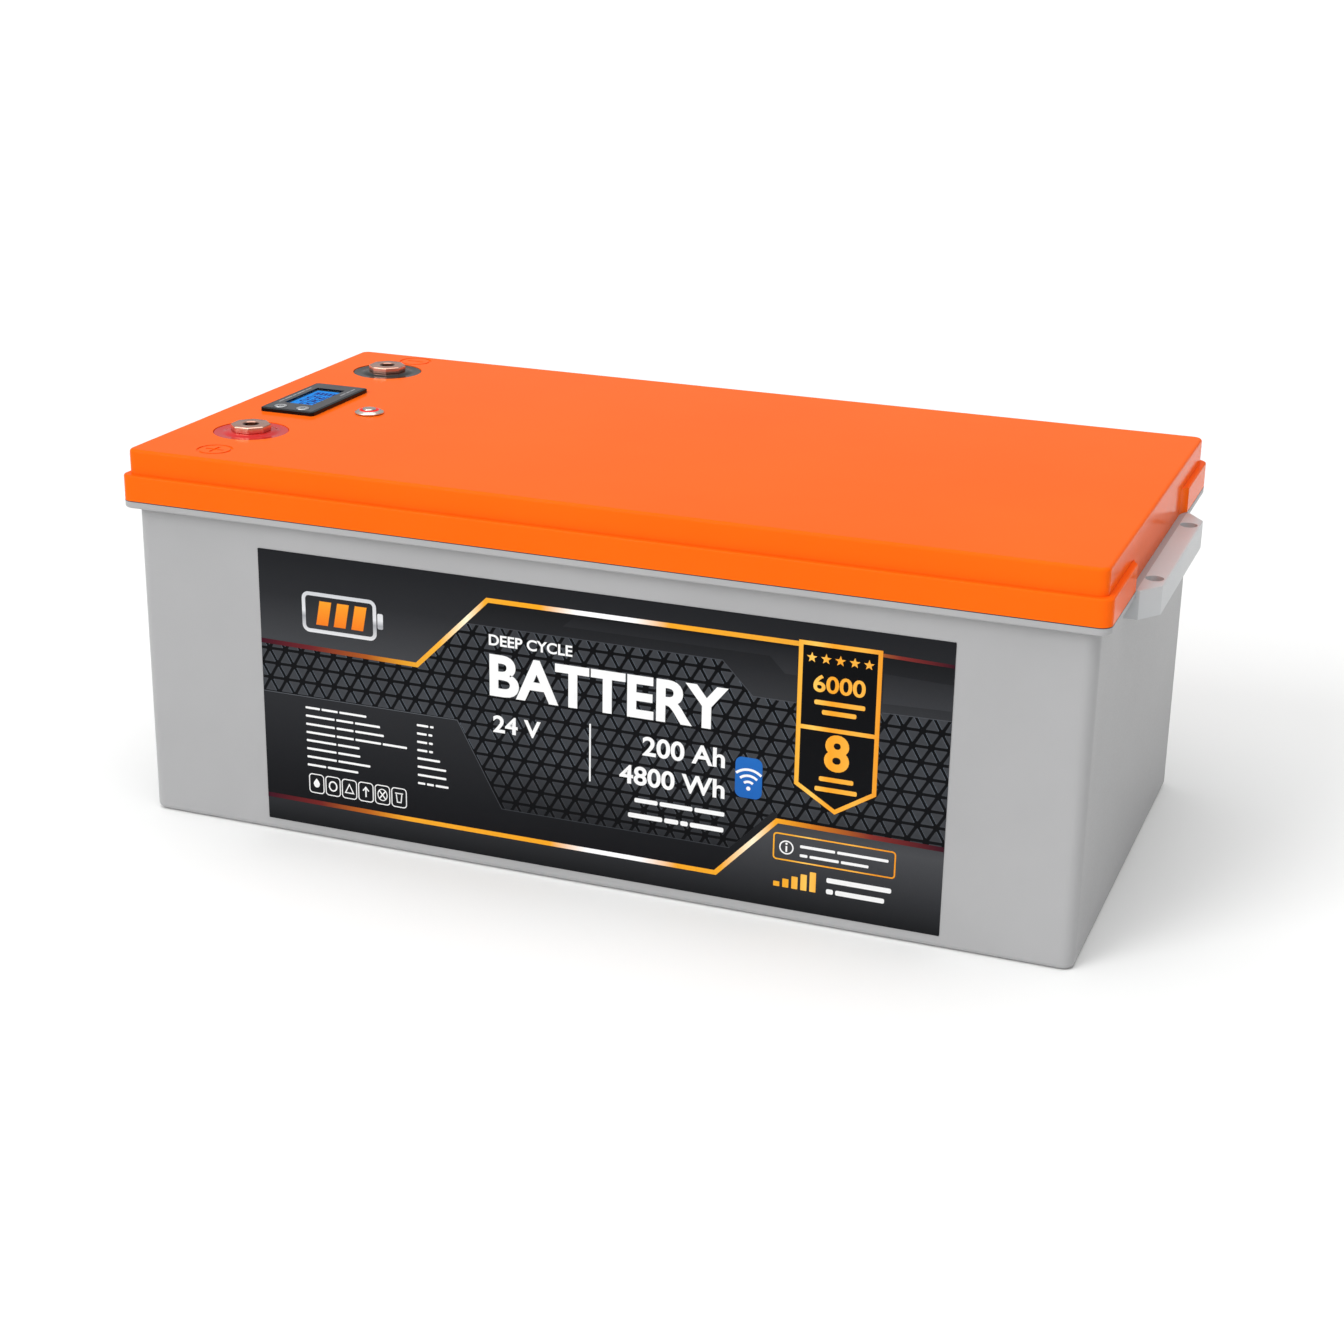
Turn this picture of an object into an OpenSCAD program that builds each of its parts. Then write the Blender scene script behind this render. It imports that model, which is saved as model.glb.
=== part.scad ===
// Deep cycle battery: sealed monobloc case with an orange lid, a charge display,
// a lit power button, two threaded copper terminals and a lithium cell pack inside.
// Origin: centre of the base. +X to the right, the label faces -Y, +Z up.

/* [Case] */
// Length over the lid skirt
case_l = 520; // [505:1:560]
// Width over the lid skirt
case_w = 269; // [262:1:300]
// Height of the container up to the joint with the lid
joint_z = 176; // [176:1:190]
// Height of the rim under the lid
rim_h = 4; // [3:0.5:6]
// How far the container wall stands in from the skirt
body_inset = 5.6; // [5:0.1:6]
// Wall thickness of the container
wall = 3.5; // [2.5:0.1:4]
// Floor thickness of the container
floor_t = 4; // [3:0.5:5]
// Radius of the container's upright corners
body_corner_r = 6.4; // [6.4:0.1:8]
// Radius of the container's bottom edge
body_edge_r = 3; // [2:0.5:3]

/* [Lid] */
// Height of the lid skirt
skirt_h = 13.6; // [12:0.1:16]
// Height of the raised top above the skirt
top_h = 13.4; // [12:0.1:16]
// How far the raised top stands in from the skirt
top_inset = 3; // [2.5:0.1:4]
// Thickness of the lid
lid_t = 3.5; // [3:0.1:4]
// Radius of the lid's upright corners
lid_corner_r = 5; // [4:0.5:8]
// Radius of the top edge
lid_edge_r = 1.8; // [1:0.1:2.5]
// Radius of the skirt's upper edge
skirt_edge_r = 1; // [0.6:0.1:1.5]

/* [Brackets] */
// How far a bracket stands out past the skirt
bracket_out = 10.5; // [10:0.5:16]
// Length of a bracket where it meets the case
bracket_root = 144; // [140:1:150]
// Length of a bracket along its outer face
bracket_face = 120; // [112:1:124]
// Height of a bracket
bracket_h = 14.5; // [12:0.5:20]
// Radius of the rope holes
rope_hole_r = 4.5; // [4:0.05:4.6]
// Distance between the two rope holes of a bracket
rope_hole_gap = 99; // [90:1:104]

/* [Terminals] */
// Distance of the terminals from the middle of the case
terminal_x = -218; // [-220:1:-214]
// Position of the positive terminal across the case
plus_y = -71; // [-76:1:-70]
// Position of the negative terminal across the case
minus_y = 87; // [80:1:90]
// Radius of the coloured surround
surround_r = 20; // [17:0.5:21]
// Width of the terminal head over its corners
head_d = 21.4; // [19:0.1:22]
// Height of the terminal head
head_h = 3.5; // [3:0.1:6]
// Radius of the M8 thread's core
thread_r = 3.4; // [3:0.05:3.6]
// Depth of the threaded hole
thread_depth = 12; // [10:0.5:13]

/* [Display] */
// Middle of the display along the case
display_x = -219.7; // [-222:0.1:-218]
// Middle of the display across the case
display_y = 2; // [-1:0.5:3]
// Width of the display frame
display_w = 33; // [32:0.5:34]
// Length of the display frame
display_l = 64.8; // [64:0.2:66]
// Height of the display frame above the lid
display_h = 2.2; // [2:0.1:3]
// Travel of the two display buttons
key_travel = 0.4; // [0.3:0.05:0.45]

/* [Power button] */
// Position of the power button along the case
power_x = -179; // [-181:1:-177]
// Position of the power button across the case
power_y = -10; // [-14:1:-6]
// Radius of the button's flange
flange_r = 8; // [7.5:0.1:8.5]
// Travel of the button cap
cap_travel = 1.5; // [1:0.1:1.6]

/* [Label] */
// Width of the front label
label_w = 371; // [300:1:400]
// Height of the front label
label_h = 151.3; // [120:0.1:152]
// Thickness of the front label
label_t = 0.25; // [0.2:0.05:0.4]

/* [Cells] */
// Number of cells in the pack
cell_count = 8; // [8]
// Thickness of one cell
cell_t = 53.4; // [50:0.1:53.5]
// Height of one cell as it lies on its narrow side
cell_h = 173.6; // [170:0.1:174]
// Length of one cell from its base to its terminal face
cell_l = 200; // [190:1:202]

/* [Hidden] */
$fn = 64;

// Levels
lid_top = joint_z + skirt_h + top_h;
lid_under = lid_top - lid_t;
body_l = case_l - 2 * body_inset;
body_w = case_w - 2 * body_inset;
hollow_l = body_l - 2 * wall;
hollow_w = body_w - 2 * wall;
hollow_r = 3;
top_l = case_l - 2 * top_inset;
top_w = case_w - 2 * top_inset;

// Lid details
lip_t = 2.4;
lip_gap = 0.2;
lip_drop = 6;
web_t = 3.2;
pocket_half = 66;
pocket_cove_r = 11;
rib_t = 2;
rib_h = 5;
mark_r = 9.5;
mark_line = 1.5;
mark_depth = 0.5;
mark_x = -215;
plus_mark_y = -113;
minus_mark_y = 118;

// Bracket details
bracket_x = case_l / 2 + bracket_out;
bracket_hole_x = case_l / 2 + rope_hole_r + 0.25;
bracket_knee = 1.8;
core_wall = 3;
core_depth = 10.5;
core_in = body_l / 2 + 2.2;
core_len = 24;
core_gap = 28;

// Terminal stack, from the top down
recess_depth = 4;
recess_floor = lid_top - recess_depth;
gasket_t = 0.5;
surround_top = lid_top - 0.3;
collar_r = 12.6;
collar_h = 0.8;
head_z = surround_top + collar_h;
head_top = head_z + head_h;
sleeve_r = 12;
shank_r = 8;
boss_r = 24;
boss_drop = 7.5;
boss_z = lid_under - boss_drop;
washer_t = 1.6;
stud_r = 5;
stud_len = 20;
nut_af = 16;
clamp_nut_h = 8;
lug_t = 3;
lock_nut_h = 6;
lug_z = boss_z - washer_t - clamp_nut_h - lug_t;

// Display stack
panel_t = 1.8;
tub_wall = 1.2;
tub_w = display_w - 4;
tub_l = display_l - 1.8;
tub_depth = 12;
glass_w = 17.2;
glass_l = 38;
glass_dx = -1;
glass_dy = 2;
key_r = 3.6;
key_gap = 13.8;
key_dx = -0.1;
key_dy = -26;
key_proud = 0.5;
frame_top = lid_top + display_h;
panel_under = frame_top - panel_t;
board_top = panel_under - 3.4;
board_t = 1.6;
tact_h = 0.4;

// Power button stack
seal_t = 0.4;
barrel_r = 6;
barrel_base = lid_top - 17;
bore_floor = barrel_base + 2.5;
cap_r = 3.85;
guide_r = 3.93;
foot_r = 4.8;
chamber_r = 5;
chamber_top = lid_top - 5;
cap_top = lid_top + 3.4;
foot_t = 1.7;
ledge_z = chamber_top - 0.1 - foot_t - cap_travel;
well_r = 4.35;
spring_r = 3.9;
wire_r = 0.3;
spring_turns = 4;
ring_in = 4.1;
ring_out = 5.4;
ring_depth = 1.5;
flange_z = lid_top + seal_t;
flange_top = lid_top + 2;
panel_nut_h = 3;

// Cell pack
pack_x = -190;
sheet_t = 0.6;
pitch = cell_t + sheet_t;
pack_l = cell_count * pitch - sheet_t;
pad_t = 3;
cell_z = floor_t + pad_t;
cell_mid_z = cell_z + cell_h / 2;
cell_base_y = -110;
cell_face_y = cell_base_y + cell_l;
plate_t = 3;
strap_t = 0.8;
strap_w = 16;
strap_ys = [-60, 40];
post_r = 9;
post_h = 4;
post_dz = 62;
bolt_r = 3;
bolt_len = 6.5;
bar_t = 2;
bar_w = 20;
bar_nut_h = 5;
cover_y = cell_face_y + 13;
cover_t = 1.5;
cover_z = 50;

// Electronics in the left bay
bms_x = -205;
bms_t = 1.6;
bms_w = 150;
bms_h = 92;
bms_z = 34;
sink_t = 3;
fin_h = 10;
fin_t = 1.6;
fin_gap = 9;
cable_r = 4.5;
lug_bore_r = 4.55;
lug_barrel_r = 5.6;
wire_small_r = 1.6;

// ---------- shared shapes ----------

// Flat rectangle with round corners, centred
module round_rect(l, w, r) {
    square([l - 2 * r, w], center = true);
    square([l, w - 2 * r], center = true);
    for (sx = [-1, 1], sy = [-1, 1])
        translate([sx * (l / 2 - r), sy * (w / 2 - r)]) circle(r);
}

// Half profile of a slab: width a, height h, outer top corner rounded by edge
module edge_profile(a, h, edge) {
    square([a, h - edge]);
    square([a - edge, h]);
    translate([a - edge, h - edge]) circle(edge);
}

// Slab from z = 0 to h with round upright corners and a rounded upper edge
module soft_slab(l, w, h, r, edge) {
    rotate([90, 0, 90]) linear_extrude(l - 2 * r, center = true) {
        edge_profile(w / 2, h, edge);
        mirror([1, 0]) edge_profile(w / 2, h, edge);
    }
    for (turn = [0, 180]) rotate([0, 0, turn]) translate([l / 2 - r, 0, 0]) rotate([90, 0, 0])
        linear_extrude(w - 2 * r, center = true) edge_profile(r, h, edge);
    for (sx = [0, 1], sy = [0, 1]) mirror([sx, 0, 0]) mirror([0, sy, 0])
        translate([l / 2 - r, w / 2 - r, 0]) rotate_extrude(angle = 90) edge_profile(r, h, edge);
}

// Flat ring standing on z = 0
module ring(outer, inner, h) {
    difference() {
        cylinder(h = h, r = outer);
        translate([0, 0, -1]) cylinder(h = h + 2, r = inner);
    }
}

// Hexagon nut standing on z = 0
module hex_nut(af, bore, h) {
    difference() {
        cylinder(h = h, d = af / cos(30), $fn = 6);
        translate([0, 0, -1]) cylinder(h = h + 2, r = bore);
    }
}

// Round cable of radius r through a list of points
module cable(points, r) {
    for (i = [0 : len(points) - 2]) {
        a = points[i];
        b = points[i + 1];
        d = b - a;
        turn = atan2(d[1], d[0]);
        tilt = acos(d[2] / norm(d));
        translate(a) rotate([0, tilt, turn]) cylinder(h = norm(d), r = r);
        if (i > 0) translate(a) sphere(r + 0.05);
    }
}

// Ring cable lug on z = 0: eye at the origin, barrel along +X
module cable_lug(eye_r, bore) {
    difference() {
        union() {
            cylinder(h = lug_t, r = eye_r);
            translate([0, -lug_barrel_r * 0.8, 0]) cube([eye_r + 8, lug_barrel_r * 1.6, lug_t]);
            translate([eye_r + 4, 0, lug_barrel_r]) rotate([0, 90, 0])
                cylinder(h = 16, r = lug_barrel_r);
        }
        translate([0, 0, -1]) cylinder(h = lug_t + 2, r = bore);
        translate([eye_r + 8, 0, lug_barrel_r]) rotate([0, 90, 0])
            cylinder(h = 20, r = lug_bore_r);
    }
}

module at_plus() translate([terminal_x, plus_y, 0]) children();
module at_minus() translate([terminal_x, minus_y, 0]) children();
module at_both() {
    at_plus() children();
    at_minus() children();
}
module at_display() translate([display_x, display_y, 0]) children();
module at_power() translate([power_x, power_y, 0]) children();
module at_keys(side) translate([display_x + key_dx + side * key_gap / 2, display_y + key_dy, 0]) children();

// ---------- case ----------

// Plan of one bracket at the +X end
module bracket_plan() {
    half = bracket_root / 2;
    polygon([
        [body_l / 2, -half],
        [case_l / 2 + bracket_knee, -half],
        [bracket_x, -bracket_face / 2],
        [bracket_x, bracket_face / 2],
        [case_l / 2 + bracket_knee, half],
        [body_l / 2, half]]);
}

// Lifting bracket with two rope holes, cored from below and notched for the rim
module bracket() {
    color([0.72, 0.73, 0.74]) difference() {
        translate([0, 0, joint_z - bracket_h]) linear_extrude(bracket_h) bracket_plan();
        translate([body_l / 2 - 1, -bracket_root, joint_z - rim_h])
            cube([case_l / 2 - body_l / 2 + 1, 2 * bracket_root, rim_h + 1]);
        for (s = [-1, 1])
            translate([bracket_hole_x, s * rope_hole_gap / 2, joint_z - bracket_h - 1])
                cylinder(h = bracket_h + 2, r = rope_hole_r);
        for (k = [-1, 0, 1])
            translate([core_in, k * core_gap - core_len / 2, joint_z - bracket_h - 1])
                cube([bracket_x - core_wall - core_in, core_len, core_depth + 1]);
    }
}

module container() {
    color([0.72, 0.73, 0.74]) {
        difference() {
            union() {
                translate([0, 0, joint_z - rim_h / 2]) mirror([0, 0, 1])
                    soft_slab(body_l, body_w, joint_z - rim_h / 2, body_corner_r, body_edge_r);
                translate([0, 0, joint_z]) mirror([0, 0, 1])
                    soft_slab(case_l, case_w, rim_h, lid_corner_r + 1, skirt_edge_r);
            }
            translate([0, 0, floor_t]) linear_extrude(joint_z) round_rect(hollow_l, hollow_w, hollow_r);
        }
    }
}

module right_bracket() bracket();
module left_bracket() mirror([1, 0, 0]) bracket();

// Space cut from the end of the skirt above a bracket
module skirt_pocket() {
    x0 = top_l / 2;
    translate([x0, -pocket_half, joint_z - 1]) cube([20, 2 * pocket_half, skirt_h + 1 + top_h / 2]);
    for (s = [-1, 1])
        translate([x0 + pocket_cove_r, s * pocket_half, joint_z - 1])
            cylinder(h = skirt_h + 1 + top_h / 2, r = pocket_cove_r);
}

// Sunk circle with a minus, or a plus, inside it
module polarity_mark(plus) {
    translate([0, 0, lid_top - mark_depth]) {
        ring(mark_r, mark_r - mark_line, 1);
        translate([-mark_r * 0.55, -mark_line / 2, 0]) cube([mark_r * 1.1, mark_line, 1]);
        if (plus) translate([-mark_line / 2, -mark_r * 0.55, 0]) cube([mark_line, mark_r * 1.1, 1]);
    }
}

module lid_shell() {
    translate([0, 0, joint_z]) soft_slab(case_l, case_w, skirt_h, lid_corner_r + 1, skirt_edge_r);
    translate([0, 0, joint_z]) soft_slab(top_l, top_w, skirt_h + top_h, lid_corner_r, lid_edge_r);
    translate([0, 0, joint_z - lip_drop]) linear_extrude(lip_drop + 1)
        round_rect(hollow_l - 2 * lip_gap, hollow_w - 2 * lip_gap, hollow_r - lip_gap);
}

module lid_hollow() {
    inner_l = hollow_l - 2 * lip_gap - 2 * lip_t;
    inner_w = hollow_w - 2 * lip_gap - 2 * lip_t;
    translate([0, 0, joint_z - lip_drop - 1]) linear_extrude(lid_under - joint_z + lip_drop + 1)
        round_rect(inner_l, inner_w, 1.5);
    translate([0, 0, joint_z + web_t]) linear_extrude(lid_under - joint_z - web_t)
        round_rect(top_l - 2 * lid_t, top_w - 2 * lid_t, 2);
}

module lid() {
    color([1.0, 0.40, 0.12]) {
        difference() {
            union() {
                difference() {
                    lid_shell();
                    lid_hollow();
                }
                at_both() translate([0, 0, boss_z]) cylinder(h = boss_drop + 1, r = boss_r);
                for (k = [0 : 4]) translate([-130 + k * 85, -top_w / 2 + lid_t - 1, lid_under - rib_h])
                    cube([rib_t, top_w - 2 * lid_t + 2, rib_h + 1]);
            }
            at_both() {
                translate([0, 0, recess_floor]) cylinder(h = recess_depth + 1, r = surround_r + 0.2);
                translate([0, 0, boss_z - 1]) cylinder(h = boss_drop + recess_depth + 2, r = sleeve_r + 0.2);
            }
            at_display() translate([0, 0, lid_under - 1]) linear_extrude(lid_t + 2)
                round_rect(tub_w + 0.6, tub_l + 0.6, 1.5);
            at_power() translate([0, 0, lid_under - 1]) cylinder(h = lid_t + 2, r = barrel_r + 0.2);
            skirt_pocket();
            mirror([1, 0, 0]) skirt_pocket();
            translate([mark_x, plus_mark_y, 0]) polarity_mark(true);
            translate([mark_x, minus_mark_y, 0]) polarity_mark(false);
        }
    }
}

// Bead of sealant between the lid's web and the top of the container wall
module lid_seal() {
    color([0.15, 0.15, 0.16]) translate([0, 0, joint_z - lip_drop - 1.2]) linear_extrude(1.1)
        difference() {
            round_rect(hollow_l - 0.2, hollow_w - 0.2, hollow_r - 0.1);
            round_rect(hollow_l - 6, hollow_w - 6, 1);
        }
}

module front_label() {
    color([0.1, 0.1, 0.11])
        translate([3 - label_w / 2, -body_w / 2 - label_t, 6.7]) cube([label_w, label_t, label_h]);
}

// ---------- terminals ----------

// Moulded insulating surround: disc, collar under the head and sleeve through the lid
module surround() {
    difference() {
        union() {
            translate([0, 0, recess_floor + gasket_t])
                cylinder(h = surround_top - recess_floor - gasket_t, r = surround_r);
            translate([0, 0, surround_top]) cylinder(h = collar_h, r1 = collar_r + 1.2, r2 = collar_r - 1);
            translate([0, 0, boss_z]) cylinder(h = surround_top - boss_z, r = sleeve_r);
        }
        translate([0, 0, boss_z - 1]) cylinder(h = head_z - boss_z + 2, r = shank_r + 0.05);
    }
}

// Copper terminal: octagonal head with a tapped hole, shank and lower stud
module terminal() {
    bevel = 0.7;
    difference() {
        union() {
            intersection() {
                translate([0, 0, head_z]) rotate([0, 0, 22.5]) cylinder(h = head_h, d = head_d, $fn = 8);
                union() {
                    translate([0, 0, head_z]) cylinder(h = head_h - bevel, r = head_d / 2 + 0.4);
                    translate([0, 0, head_top - bevel])
                        cylinder(h = bevel, r1 = head_d / 2 + 0.4, r2 = head_d / 2 - 1.5);
                }
            }
            translate([0, 0, boss_z]) cylinder(h = head_z - boss_z, r = shank_r);
            translate([0, 0, boss_z - stud_len]) cylinder(h = stud_len + 1, r = stud_r);
        }
        translate([0, 0, head_top - thread_depth]) cylinder(h = thread_depth + 1, r = thread_r);
    }
}

module plus_surround() color([0.85, 0.12, 0.16]) at_plus() surround();
module minus_surround() color([0.10, 0.10, 0.11]) at_minus() surround();
module plus_terminal() color([0.80, 0.55, 0.42]) at_plus() terminal();
module minus_terminal() color([0.80, 0.55, 0.42]) at_minus() terminal();

module surround_gaskets() {
    color([0.08, 0.08, 0.08]) at_both()
        translate([0, 0, recess_floor]) ring(surround_r - 1, sleeve_r + 0.3, gasket_t);
}

module terminal_washers() {
    color([0.75, 0.75, 0.77]) at_both()
        translate([0, 0, boss_z - washer_t]) ring(15, stud_r + 0.2, washer_t);
}

// Clamping nut above each lug and lock nut below it
module terminal_nuts() {
    color([0.72, 0.72, 0.74]) at_both() {
        translate([0, 0, boss_z - washer_t - clamp_nut_h]) hex_nut(nut_af, stud_r + 0.05, clamp_nut_h);
        translate([0, 0, lug_z - lock_nut_h]) hex_nut(nut_af, stud_r + 0.05, lock_nut_h);
    }
}

// ---------- display ----------

module display_frame() {
    color([0.13, 0.13, 0.14]) at_display() difference() {
        union() {
            translate([0, 0, lid_top]) soft_slab(display_w, display_l, display_h, 2, 0.5);
            translate([0, 0, lid_top - tub_depth]) linear_extrude(tub_depth + 0.5)
                round_rect(tub_w, tub_l, 1.2);
        }
        translate([0, 0, lid_top - tub_depth - 1])
            linear_extrude(panel_under - lid_top + tub_depth + 1)
                round_rect(tub_w - 2 * tub_wall, tub_l - 2 * tub_wall, 0.6);
        translate([glass_dx, glass_dy, panel_under - 1]) linear_extrude(panel_t + 2)
            square([glass_w + 0.2, glass_l + 0.2], center = true);
        for (s = [-1, 1])
            translate([key_dx + s * key_gap / 2, key_dy, panel_under - 1])
                cylinder(h = panel_t + 2, r = key_r + 0.08);
    }
}

module display_window() {
    color([0.7, 0.8, 0.9, 0.4]) at_display() translate([glass_dx, glass_dy, panel_under + 0.6])
        linear_extrude(0.9) square([glass_w, glass_l], center = true);
}

module display_screen() {
    color([0.05, 0.25, 0.80]) at_display() translate([glass_dx, glass_dy, board_top])
        linear_extrude(3) square([glass_w + 4, glass_l + 4], center = true);
}

// Circuit board of the display, with its two key switches and a plug socket below
module display_board() {
    color([0.05, 0.35, 0.20]) at_display() {
        translate([0, 0, board_top - board_t]) linear_extrude(board_t)
            square([tub_w - 2 * tub_wall - 0.6, tub_l - 2 * tub_wall - 0.6], center = true);
        for (s = [-1, 1])
            translate([key_dx + s * key_gap / 2, key_dy, board_top - 0.1]) cylinder(h = tact_h + 0.1, r = 1.6);
        translate([-4, 18, board_top - board_t - 4]) cube([8, 6, 4.1]);
    }
}

// Silver push key with a foot that holds it under the frame
module display_key(side) {
    color([0.80, 0.80, 0.82]) at_keys(side) {
        top = frame_top + key_proud;
        foot = board_top + tact_h + key_travel + 0.1;
        translate([0, 0, foot]) cylinder(h = top - foot - 0.3, r = key_r);
        translate([0, 0, top - 0.3]) cylinder(h = 0.3, r1 = key_r, r2 = key_r - 0.3);
        translate([0, 0, foot]) cylinder(h = 1.2, r = key_r + 0.5);
    }
}

module display_left_key() display_key(-1);
module display_right_key() display_key(1);

module display_lead() {
    z = board_top - board_t - 4;
    color([0.12, 0.12, 0.12]) cable([
        [display_x, display_y + 21, z],
        [display_x, display_y + 21, 160],
        [display_x, display_y + 21, 140],
        [bms_x - 10, 60, 120]], wire_small_r);
}

// ---------- power button ----------

module power_button_body() {
    color([0.78, 0.76, 0.72]) at_power() difference() {
        union() {
            translate([0, 0, flange_z]) cylinder(h = flange_top - 0.9 - flange_z, r = flange_r);
            translate([0, 0, flange_top - 0.9]) cylinder(h = 0.9, r1 = flange_r, r2 = flange_r - 1.8);
            translate([0, 0, barrel_base]) cylinder(h = flange_z - barrel_base + 0.5, r = barrel_r);
        }
        translate([0, 0, chamber_top - 1]) cylinder(h = flange_top - chamber_top + 2, r = guide_r);
        translate([0, 0, ledge_z]) cylinder(h = chamber_top - ledge_z, r = chamber_r);
        translate([0, 0, bore_floor]) cylinder(h = chamber_top - bore_floor, r = well_r);
        translate([0, 0, flange_top - ring_depth]) cylinder(h = ring_depth + 1, r = ring_out + 0.05);
    }
}

module power_button_seal() {
    color([0.08, 0.08, 0.08]) at_power()
        translate([0, 0, lid_top]) ring(flange_r - 0.4, barrel_r + 0.1, seal_t);
}

module power_button_light() {
    color([0.95, 0.08, 0.06]) at_power() translate([0, 0, flange_top - ring_depth])
        ring(ring_out, ring_in, ring_depth + 0.2);
}

// Metal cap with a low dome and a foot that stops it at the top of the chamber
module power_button_cap() {
    dome = 0.7;
    dome_r = (cap_r * cap_r + dome * dome) / (2 * dome);
    foot_top = chamber_top - 0.05;
    color([0.82, 0.80, 0.78]) at_power() {
        intersection() {
            translate([0, 0, foot_top - 0.5]) cylinder(h = cap_top - foot_top + 1, r = cap_r);
            translate([0, 0, cap_top - dome_r]) sphere(dome_r, $fn = 96);
        }
        translate([0, 0, foot_top - foot_t]) cylinder(h = foot_t, r = foot_r);
    }
}

// Point k of n sides on ring i of the spring's wire
function coil_point(i, steps, k, n, z0, z1) =
    let (a = 360 * spring_turns * i / steps, b = 360 * k / n,
         r = spring_r + wire_r * cos(b))
    [r * cos(a), r * sin(a), z0 + (z1 - z0) * i / steps + wire_r * sin(b)];

// Round-wire compression spring under the cap
module power_button_spring() {
    steps = 72;
    n = 8;
    z0 = bore_floor + wire_r;
    z1 = chamber_top - 0.05 - foot_t - wire_r;
    rings = [for (i = [0 : steps], k = [0 : n - 1]) coil_point(i, steps, k, n, z0, z1)];
    sides = [for (i = [0 : steps - 1], k = [0 : n - 1])
        [i * n + k, (i + 1) * n + k, (i + 1) * n + (k + 1) % n, i * n + (k + 1) % n]];
    first = [for (k = [0 : n - 1]) k];
    last = [for (k = [n - 1 : -1 : 0]) steps * n + k];
    color([0.70, 0.70, 0.72]) at_power() polyhedron(rings, concat(sides, [first], [last]), convexity = 8);
}

module power_button_nut() {
    color([0.70, 0.70, 0.72]) at_power()
        translate([0, 0, lid_under - panel_nut_h]) hex_nut(15, barrel_r + 0.05, panel_nut_h);
}

module power_button_lead() {
    color([0.6, 0.1, 0.1]) cable([
        [power_x - 9, power_y, barrel_base - 1.8],
        [power_x - 27, power_y, barrel_base - 1.8],
        [power_x - 27, power_y, 140],
        [bms_x - 8, power_y, 120]], wire_small_r);
    color([0.1, 0.1, 0.1]) translate([power_x - 9, power_y - 4, barrel_base - 4]) cube([14, 8, 4]);
}

// ---------- cell pack ----------

// Middle of cell k, counted from 1
function cell_x(k) = pack_x + (k - 1) * pitch + cell_t / 2;
// Row of the busbar between cell k and cell k + 1: upper when k is odd
function bar_z(k) = cell_mid_z + (k % 2 == 1 ? post_dz : -post_dz);

// Prismatic cell in its blue film, lying on its narrow side with its terminals to +Y
module cell(k) {
    color([0.10, 0.28, 0.62]) translate([cell_x(k), cell_face_y, cell_mid_z]) rotate([90, 0, 0])
        linear_extrude(cell_l) round_rect(cell_t, cell_h, 2.5);
}

module cell_1() cell(1);
module cell_2() cell(2);
module cell_3() cell(3);
module cell_4() cell(4);
module cell_5() cell(5);
module cell_6() cell(6);
module cell_7() cell(7);
module cell_8() cell(8);

module on_posts(y) {
    for (k = [1 : cell_count], s = [-1, 1])
        translate([cell_x(k), y, cell_mid_z + s * post_dz]) rotate([-90, 0, 0]) children();
}

// Two terminal posts with threaded studs on each cell
module cell_posts() {
    color([0.80, 0.80, 0.82]) on_posts(cell_face_y) {
        cylinder(h = post_h, r = post_r);
        cylinder(h = post_h + bar_t + bolt_len, r = bolt_r);
    }
}

module cell_vents() {
    color([0.85, 0.85, 0.86]) for (k = [1 : cell_count])
        translate([cell_x(k), cell_face_y, cell_mid_z]) rotate([-90, 0, 0]) cylinder(h = 0.5, r = 8);
}

module cell_sheets() {
    color([0.85, 0.78, 0.45]) for (k = [1 : cell_count - 1])
        translate([cell_x(k) + cell_t / 2 + 0.05, cell_base_y, cell_z])
            cube([sheet_t - 0.1, cell_l, cell_h]);
}

// Plated copper bar that joins cell k to the next cell
module busbar(k) {
    color([0.78, 0.50, 0.35]) translate([cell_x(k) + pitch / 2, cell_face_y + post_h, bar_z(k)])
        rotate([-90, 0, 0]) difference() {
            linear_extrude(bar_t) round_rect(pitch + bar_w, bar_w, 4);
            for (s = [-1, 1]) translate([s * pitch / 2, 0, -1]) cylinder(h = bar_t + 2, r = bolt_r + 0.2);
        }
}

module busbars() for (k = [1 : cell_count - 1]) busbar(k);

// Nuts on the busbars; the two end posts carry theirs above a cable lug
module busbar_nuts() {
    color([0.72, 0.72, 0.74]) {
        for (k = [1 : cell_count - 1], s = [0, 1])
            translate([cell_x(k + s), cell_face_y + post_h + bar_t, bar_z(k)]) rotate([-90, 0, 0])
                hex_nut(10, bolt_r + 0.05, bar_nut_h);
        for (k = [1, cell_count])
            translate([cell_x(k), cell_face_y + post_h + lug_t, bar_z(0)]) rotate([-90, 0, 0])
                hex_nut(10, bolt_r + 0.05, bar_nut_h);
    }
}

module end_plate(x) {
    color([0.70, 0.71, 0.73]) translate([x, cell_base_y + 5, cell_z]) cube([plate_t, cell_l - 10, cell_h]);
}

module left_end_plate() end_plate(pack_x - plate_t);
module right_end_plate() end_plate(pack_x + pack_l);

module pack_straps() {
    inner_l = pack_l + 2 * plate_t;
    color([0.62, 0.63, 0.65]) for (y = strap_ys)
        translate([pack_x - plate_t + inner_l / 2, y + strap_w / 2, cell_mid_z]) rotate([90, 0, 0])
            linear_extrude(strap_w) difference() {
                square([inner_l + 2 * strap_t, cell_h + 2 * strap_t], center = true);
                square([inner_l, cell_h], center = true);
            }
}

module base_pad() {
    color([0.25, 0.25, 0.27]) difference() {
        translate([pack_x, cell_base_y, floor_t]) cube([pack_l, cell_l, pad_t]);
        for (y = strap_ys) translate([pack_x - 1, y - strap_w / 2 - 1, cell_z - strap_t - 0.1])
            cube([pack_l + 2, strap_w + 2, strap_t + 1]);
    }
}

module front_pad() {
    color([0.25, 0.25, 0.27]) translate([pack_x + 10, -hollow_w / 2, 20])
        cube([pack_l - 20, cell_base_y + hollow_w / 2, cell_h - 30]);
}

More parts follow.
